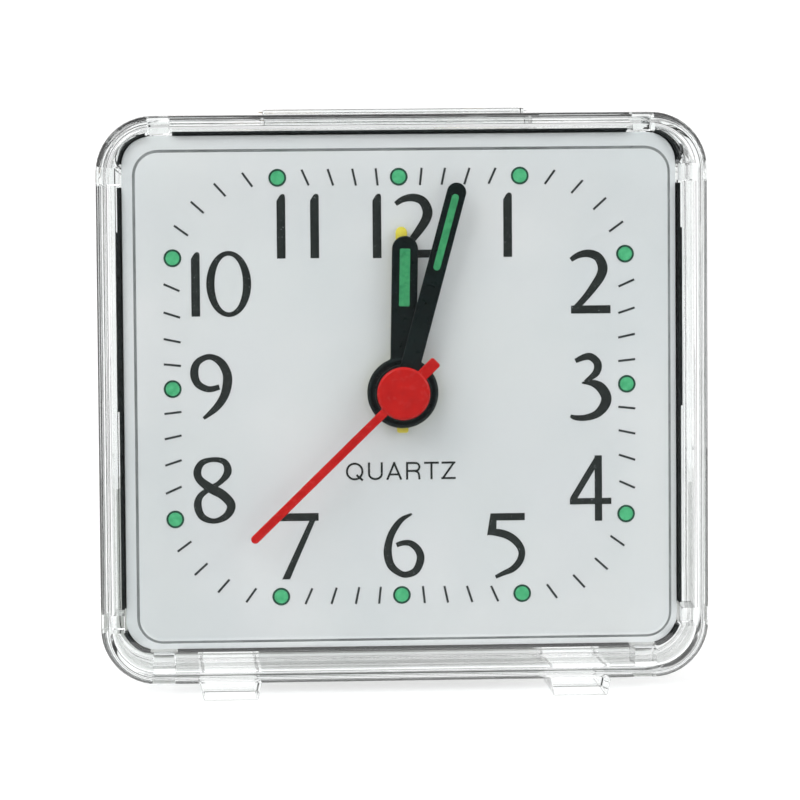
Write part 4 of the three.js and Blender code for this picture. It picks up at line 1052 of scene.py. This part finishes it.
def stripe(centre_low, centre_high, half, front, round_ends):
    """The luminous fill of a hand, a little proud of it."""
    height = centre_high - centre_low + (2 * half if round_ends else 0)
    centre = (SHAFT[0], SHAFT[1] + (centre_low + centre_high) / 2)
    corner = 0.98 * half if round_ends else 0.12
    return prism(rounded(2 * half, height, corner, 8, centre), front - 0.04, front + 0.05, 0.03, 2)


def minute_hand():
    front, rear = -13.75, -13.4
    blade = prism(hand_outline(20.7, 0.92, 2.7), front, rear, 0.1)
    collar = turned([(1.7, rear - 0.1), (1.7, rear + 0.25)], SHAFT)
    return combined(blade, [collar], [turned([(1.05, -15), (1.05, -12)], SHAFT)])


def hour_hand():
    """The hour hand's hub carries a raised ring with sloping sides."""
    front, rear = -13.05, -12.65
    blade = prism(hand_outline(14.95, 1.24, 3.4), front, rear, 0.12)
    ring = turned([(3.15, front + 0.2), (3.36, front + 0.1), (3.36, front), (3.24, front - 0.16),
                   (3.1, front - 0.2), (2.85, front - 0.02), (2.85, front + 0.2)], SHAFT, 96)
    collar = turned([(2.1, rear - 0.1), (2.1, rear + 0.2)], SHAFT)
    hollow = [(2.6, front - 1), (2.95, front - 0.19), (2.7, front - 0.01), (2.7, front + 0.02)]
    dish = turned(hollow, SHAFT, 96)
    bore = turned([(1.55, -15), (1.55, -12)], SHAFT)
    return combined(blade, [ring, collar], [dish, bore])


def alarm_hand():
    front, rear = -12.35, -12.1
    blade = prism(hand_outline(15.8, 0.55, 3.1, 3.9, 0.55), front, rear, 0.06, 2)
    return combined(blade, cut=[turned([(2.15, -15), (2.15, -11)], SHAFT)])


def second_hand():
    """A slim bar and a tail under a flat round cap with a sloping rim."""
    front, rear = -14.4, -14.15
    blade = prism(hand_outline(20.2, 0.41, 1.2, 4.4, 0.56), front, rear, 0.08)
    cap = turned([(2.53, rear), (2.53, front + 0.02), (2.4, front - 0.13), (2.28, front - 0.2)], SHAFT, 96)
    collar = turned([(0.9, rear - 0.1), (0.9, rear + 0.2)], SHAFT)
    return combined(cap, [blade, collar], [turned([(0.45, rear + 0.05), (0.45, -12)], SHAFT, 32)])


MINUTE_TURN, HOUR_TURN, SECOND_TURN = 15.3, 1.3, 226
piece("alarm_hand_pointer", alarm_hand(), HAND_YELLOW, "alarm", "hand_yellow", ["alarm_hand"])
hours = spun(hour_hand(), HOUR_TURN, SHAFT)
piece("hour_hand_pointer", hours, HAND_BLACK, "hours", "hand_black", ["hour_hand"])
hour_stripe = spun(stripe(8.25, 13.75, 0.5, -13.05, False), HOUR_TURN, SHAFT)
piece("hour_hand_stripe", hour_stripe, STRIPE, "hours")
minutes = spun(minute_hand(), MINUTE_TURN, SHAFT)
piece("minute_hand_pointer", minutes, HAND_BLACK, "minutes", "hand_black", ["minute_hand"])
minute_stripe = spun(stripe(12.45, 19.25, 0.34, -13.75, True), MINUTE_TURN, SHAFT)
piece("minute_hand_stripe", minute_stripe, STRIPE, "minutes")
seconds = spun(second_hand(), SECOND_TURN, SHAFT)
piece("second_hand_pointer", seconds, HAND_RED, "seconds", "hand_red", ["second_hand"])

# ---- Cell, buzzer, screws, springs and leads -----------------------------------------------------


def crosswise(profile, centre, steps=96):
    """A lathe solid whose axis lies along x, from (radius, x) points."""
    return turned(profile, centre, steps, "x")


def cell_can():
    """The steel can: the raised positive end, the rolled shoulder and the flat negative end."""
    return crosswise(
        [
            (2.4, -25.3), (2.7, -25.2), (2.75, -25.0), (2.75, -24.45), (3.0, -24.3), (5.9, -24.3),
            (6.2, -24.15), (6.3, -23.9), (6.95, -23.7), (6.98, -23.4), (6.98, 24.3), (6.8, 24.65),
            (6.3, 24.75), (5.2, 24.8), (4.9, 24.9), (1.0, 24.9),
        ],
        CELL,
    )


def cell_film():
    tube = crosswise([(6.9, -23.95), (7.1, -23.75), (7.1, 24.35), (6.9, 24.6)], CELL)
    return combined(tube, cut=[crosswise([(6.8, -26), (6.8, 26)], CELL)])


def cell_mark(x, shapes, rise=0.015):
    """A flat mark bent round the cell's rear side; its shapes are (x, z) about the middle of the mark."""
    made = []
    steps = 6
    for left, right, low, high in shapes:
        mark = bmesh.new()
        rows = []
        for radius in (7.08, 7.1 + rise):
            for across in (left, right):
                row = []
                for step in range(steps + 1):
                    t = (low + (high - low) * step / steps) / 7.1
                    y, z = CELL[0] + radius * math.cos(t), CELL[1] + radius * math.sin(t)
                    row.append(mark.verts.new((x + across, y, z)))
                rows.append(row)
        a, b, c, d = rows
        for i in range(steps):
            mark.faces.new((a[i], a[i + 1], b[i + 1], b[i]))
            mark.faces.new((c[i], d[i], d[i + 1], c[i + 1]))
            mark.faces.new((a[i], c[i], c[i + 1], a[i + 1]))
            mark.faces.new((b[i], b[i + 1], d[i + 1], d[i]))
        mark.faces.new((a[0], b[0], d[0], c[0]))
        mark.faces.new((a[-1], c[-1], d[-1], b[-1]))
        bmesh.ops.recalc_face_normals(mark, faces=mark.faces)
        made.append(mark)
    return combined(made[0], made[1:]) if len(made) > 1 else made[0]


def case_screw(side):
    """A pan-head screw with a cross recess and a coarse thread."""
    centre = (side * SCREW[0], SCREW[1])
    head = [(1.4, -0.05), (1.6, -0.2), (1.65, -0.5), (1.65, -0.95), (1.55, -1.1)]
    thread = [(0.62 if step % 2 else 0.8, -1.15 - 0.3 * step) for step in range(26)]
    shank = turned([*head, (0.7, -1.1), *thread, (0.3, -9.2)], centre, 40)
    x, z = centre
    cross = []
    for wide, high in ((0.22, 0.95), (0.95, 0.22)):
        cross.append(block(x - wide, x + wide, -0.6, 1, z - high, z + high))
    return combined(shank, cut=cross)


def helix(centre, radius_low, radius_high, low, high, turns, axis, steps=24):
    """Points of a coil: its axis runs along z or, towards the left, along x."""
    points = []
    count = round(turns * steps)
    for step in range(count + 1):
        share = step / count
        t = 2 * math.pi * turns * share
        radius = radius_low + (radius_high - radius_low) * share
        along = low + (high - low) * share
        a, b = radius * math.cos(t), radius * math.sin(t)
        if axis == "z":
            points.append((centre[0] + a, centre[1] + b, centre[2] + along))
        else:
            points.append((centre[0] - along, centre[1] + b, centre[2] + a))
    return points


def lead(x, end_x, end_z):
    """A buzzer lead from the board through the housing's window to the disc."""
    points = [
        (x, 5.3, MIDDLE + 12),
        (x, 7.0, MIDDLE + 12),
        ((x + end_x) / 2, 8.4, MIDDLE + (12 + end_z) / 2),
        (end_x, 9.1, MIDDLE + end_z),
        (end_x + 0.6, 9.25, MIDDLE + end_z + 1.6),
    ]
    return wire(smoothed(points, 8), 0.35)


piece("battery_can", cell_can(), STEEL, "case", "steel")
piece("battery_film", cell_film(), JACKET, "case", "cell_jacket", ["battery"])
plus = [(-1.3, 1.3, -0.25, 0.25), (-0.25, 0.25, -1.3, 1.3)]
minus = [(-0.25, 0.25, -1.3, 1.3)]
piece("battery_plus_mark", cell_mark(-19.5, plus), WHITE, "case", "white_plastic")
piece("battery_minus_mark", cell_mark(20.5, minus), WHITE, "case", "white_plastic")
disc = turned([(9.1, 10), (9.2, 10.05), (9.2, 10.25), (9.1, 10.3)], BUZZER, 96)
piece("buzzer_disc", disc, BRASS, "case", "brass", ["buzzer"])
piece("buzzer_ceramic", turned([(6.3, 9.8), (6.4, 9.86), (6.4, 10.02)], BUZZER, 96), NYLON, "case", "nylon")
piece("case_screw_left_pan", case_screw(-1), STEEL, "case", "steel", ["case_screw_left"])
piece("case_screw_right_pan", case_screw(1), STEEL, "case", "steel", ["case_screw_right"])
bar_spring = helix((0, 2.9, MIDDLE), 1.5, 1.5, 23.52, 24.73, 3, "z")
bar_coil = piece("stop_bar_coil", wire(bar_spring, 0.21), STEEL, "case", "steel", ["stop_bar_spring"])
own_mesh(bar_coil)
end_spring = helix((26.45, *CELL), 3.6, 2.2, 0.35, 1.15, 2.5, "x")
piece("battery_end_spring", wire(end_spring, 0.25), STEEL, "case", "steel", ["battery_spring"])
piece("buzzer_red_wire", lead(-13, -15, 16.5), RED_LEAD, "case", "red_lead", ["buzzer_lead_red"])
piece("buzzer_black_wire", lead(-9, -7, 16.5), BLACK_LEAD, "case", "black_lead", ["buzzer_lead_black"])

# ---- Movement: CAD nodes with their finish -------------------------------------------------------

FINISH = {
    "movement_front_plate": WHITE,
    "movement_housing": WHITE,
    "train_bridge": WHITE,
    "bridge_screw_left": STEEL,
    "bridge_screw_right": STEEL,
    "stator": STEEL,
    "coil_core": STEEL,
    "coil_bobbin": WHITE,
    "coil_winding": COPPER,
    "circuit_board": BOARD,
    "chip_cap": BLACK_AND_SHADE,
    "quartz_can": STEEL,
    "alarm_contact": BRASS,
    "stop_contact": BRASS,
    "battery_contact_positive": STEEL,
    "battery_contact_negative": STEEL,
    "second_wheel": NYLON,
    "intermediate_wheel": NYLON,
    "rotor": MAGNET,
    "third_wheel": NYLON,
    "centre_wheel": BRASS,
    "cannon_pinion": NYLON,
    "minute_wheel": NYLON,
    "hour_wheel": NYLON,
    "alarm_wheel": HAND_YELLOW,
    "alarm_idler": NYLON,
}
EDGE_BREAK = {"movement_housing": 0.2, "movement_front_plate": 0.1, "train_bridge": 0.1}

for name, finish in FINISH.items():
    node = frame["nodes"][name]
    node.data.materials.clear()
    node.data.materials.append(finish)
    if name in EDGE_BREAK:
        rounding = node.modifiers.new("edge break", "BEVEL")
        rounding.width = EDGE_BREAK[name] * MM
        rounding.segments = 2
        rounding.limit_method = "ANGLE"
        rounding.angle_limit = math.radians(50)
        rounding.harden_normals = True

# ---- Camera, floor and light ---------------------------------------------------------------------


def sweep():
    """Floor and backdrop in one pale curved sheet."""
    made = bmesh.new()
    bend, radius = 500, 600
    profile = [(-1500, 0), (bend, 0)]
    for degrees in range(5, 91, 5):
        t = math.radians(degrees)
        profile.append((bend + radius * math.sin(t), radius * (1 - math.cos(t))))
    profile += [(bend + radius, 2500)]
    rows = []
    for x in (-2500, 2500):
        rows.append([made.verts.new((x, y, z)) for y, z in profile])
    for i in range(len(profile) - 1):
        made.faces.new((rows[0][i], rows[1][i], rows[1][i + 1], rows[0][i + 1]))
    made.transform(Matrix.Scale(MM, 4))
    floor = as_object(made, "floor")
    floor.data.shade_smooth()
    look = Look("floor", Roughness=0.9)
    tone = [(0.3, (0.48, 0.48, 0.48)), (0.7, (0.50, 0.50, 0.50))]
    look.set("Base Color", look.ramp(look.noise(60.0, 2), tone))
    look.shader.inputs["Emission Color"].default_value = (1, 1, 1, 1)
    look.shader.inputs["Emission Strength"].default_value = 0.62
    floor.data.materials.append(look.material)


def world():
    made = bpy.data.worlds.new("studio")
    made.use_nodes = True
    made.node_tree.nodes["Background"].inputs["Color"].default_value = (0.92, 0.92, 0.92, 1)
    made.node_tree.nodes["Background"].inputs["Strength"].default_value = 0.85
    scene.world = made


def black_card():
    """A dark card in front of the clock that only rays mirrored exactly once can see.

    It keeps the white floor out of the window's reflection. Other rays pass through it."""
    made = bmesh.new()
    profile = [(-60, 0.3), (-700, 0.3), (-900, 30), (-980, 120), (-1000, 500)]
    rows = [[made.verts.new((x, y, z)) for y, z in profile] for x in (-500, 500)]
    for i in range(len(profile) - 1):
        made.faces.new((rows[0][i], rows[1][i], rows[1][i + 1], rows[0][i + 1]))
    made.transform(Matrix.Scale(MM, 4))
    card = as_object(made, "black_card")
    look = Look("black_card", Roughness=0.9)
    tone = [(0.3, (0.010, 0.010, 0.010)), (0.7, (0.016, 0.016, 0.016))]
    look.set("Base Color", look.ramp(look.noise(8.0), tone))
    passing = look.node("ShaderNodeBsdfTransparent")
    path = look.node("ShaderNodeLightPath")
    once = look.node("ShaderNodeMath", operation="COMPARE")
    once.inputs[1].default_value = 1
    once.inputs[2].default_value = 0.5
    mix = look.node("ShaderNodeMixShader")
    look.links.new(path.outputs["Glossy Depth"], once.inputs[0])
    look.links.new(once.outputs["Value"], mix.inputs["Fac"])
    look.links.new(passing.outputs["BSDF"], mix.inputs[1])
    look.links.new(look.shader.outputs["BSDF"], mix.inputs[2])
    look.links.new(mix.outputs["Shader"], look.output.inputs["Surface"])
    card.data.materials.append(look.material)
    for rays in ("camera", "diffuse", "shadow", "volume_scatter"):
        setattr(card, "visible_" + rays, False)


def softbox(name, place, size, watts, colour=(1, 1, 1)):
    light = bpy.data.lights.new(name, "AREA")
    light.shape = "RECTANGLE"
    light.size, light.size_y = (s * MM for s in size)
    light.energy = watts
    light.color = colour
    lamp = bpy.data.objects.new(name, light)
    scene.collection.objects.link(lamp)
    lamp.location = Vector(place) * MM
    target = Vector((0, 0, MIDDLE)) * MM
    lamp.rotation_mode = "QUATERNION"
    lamp.rotation_quaternion = (target - lamp.location).to_track_quat("-Z", "Y")


def camera():
    """A long lens a little to the left of the dial's axis and a little above it."""
    azimuth, elevation, roll = (math.radians(a) for a in (3.2, 4.2, 0.44))
    distance = 450
    level = math.cos(elevation)
    back = Vector((-math.sin(azimuth) * level, -math.cos(azimuth) * level, math.sin(elevation)))
    data = bpy.data.cameras.new("camera")
    data.sensor_width = 36
    data.lens = 213.7
    data.shift_x = -4.7 / 800
    data.shift_y = -0.7 / 800
    made = bpy.data.objects.new("camera", data)
    scene.collection.objects.link(made)
    made.location = (Vector((0, WINDOW_FACE, MIDDLE)) + back * distance) * MM
    turn = (-back).to_track_quat("-Z", "Y").to_matrix() @ Matrix.Rotation(-roll, 3, "Z")
    made.rotation_mode = "QUATERNION"
    made.rotation_quaternion = turn.to_quaternion()
    data.clip_start, data.clip_end = 0.01, 20
    scene.camera = made


camera()
sweep()
world()
black_card()
softbox("key", (-500, -500, 700), (600, 600), 4)
softbox("fill", (700, -400, 400), (500, 500), 2)
scene.view_settings.view_transform = "Standard"
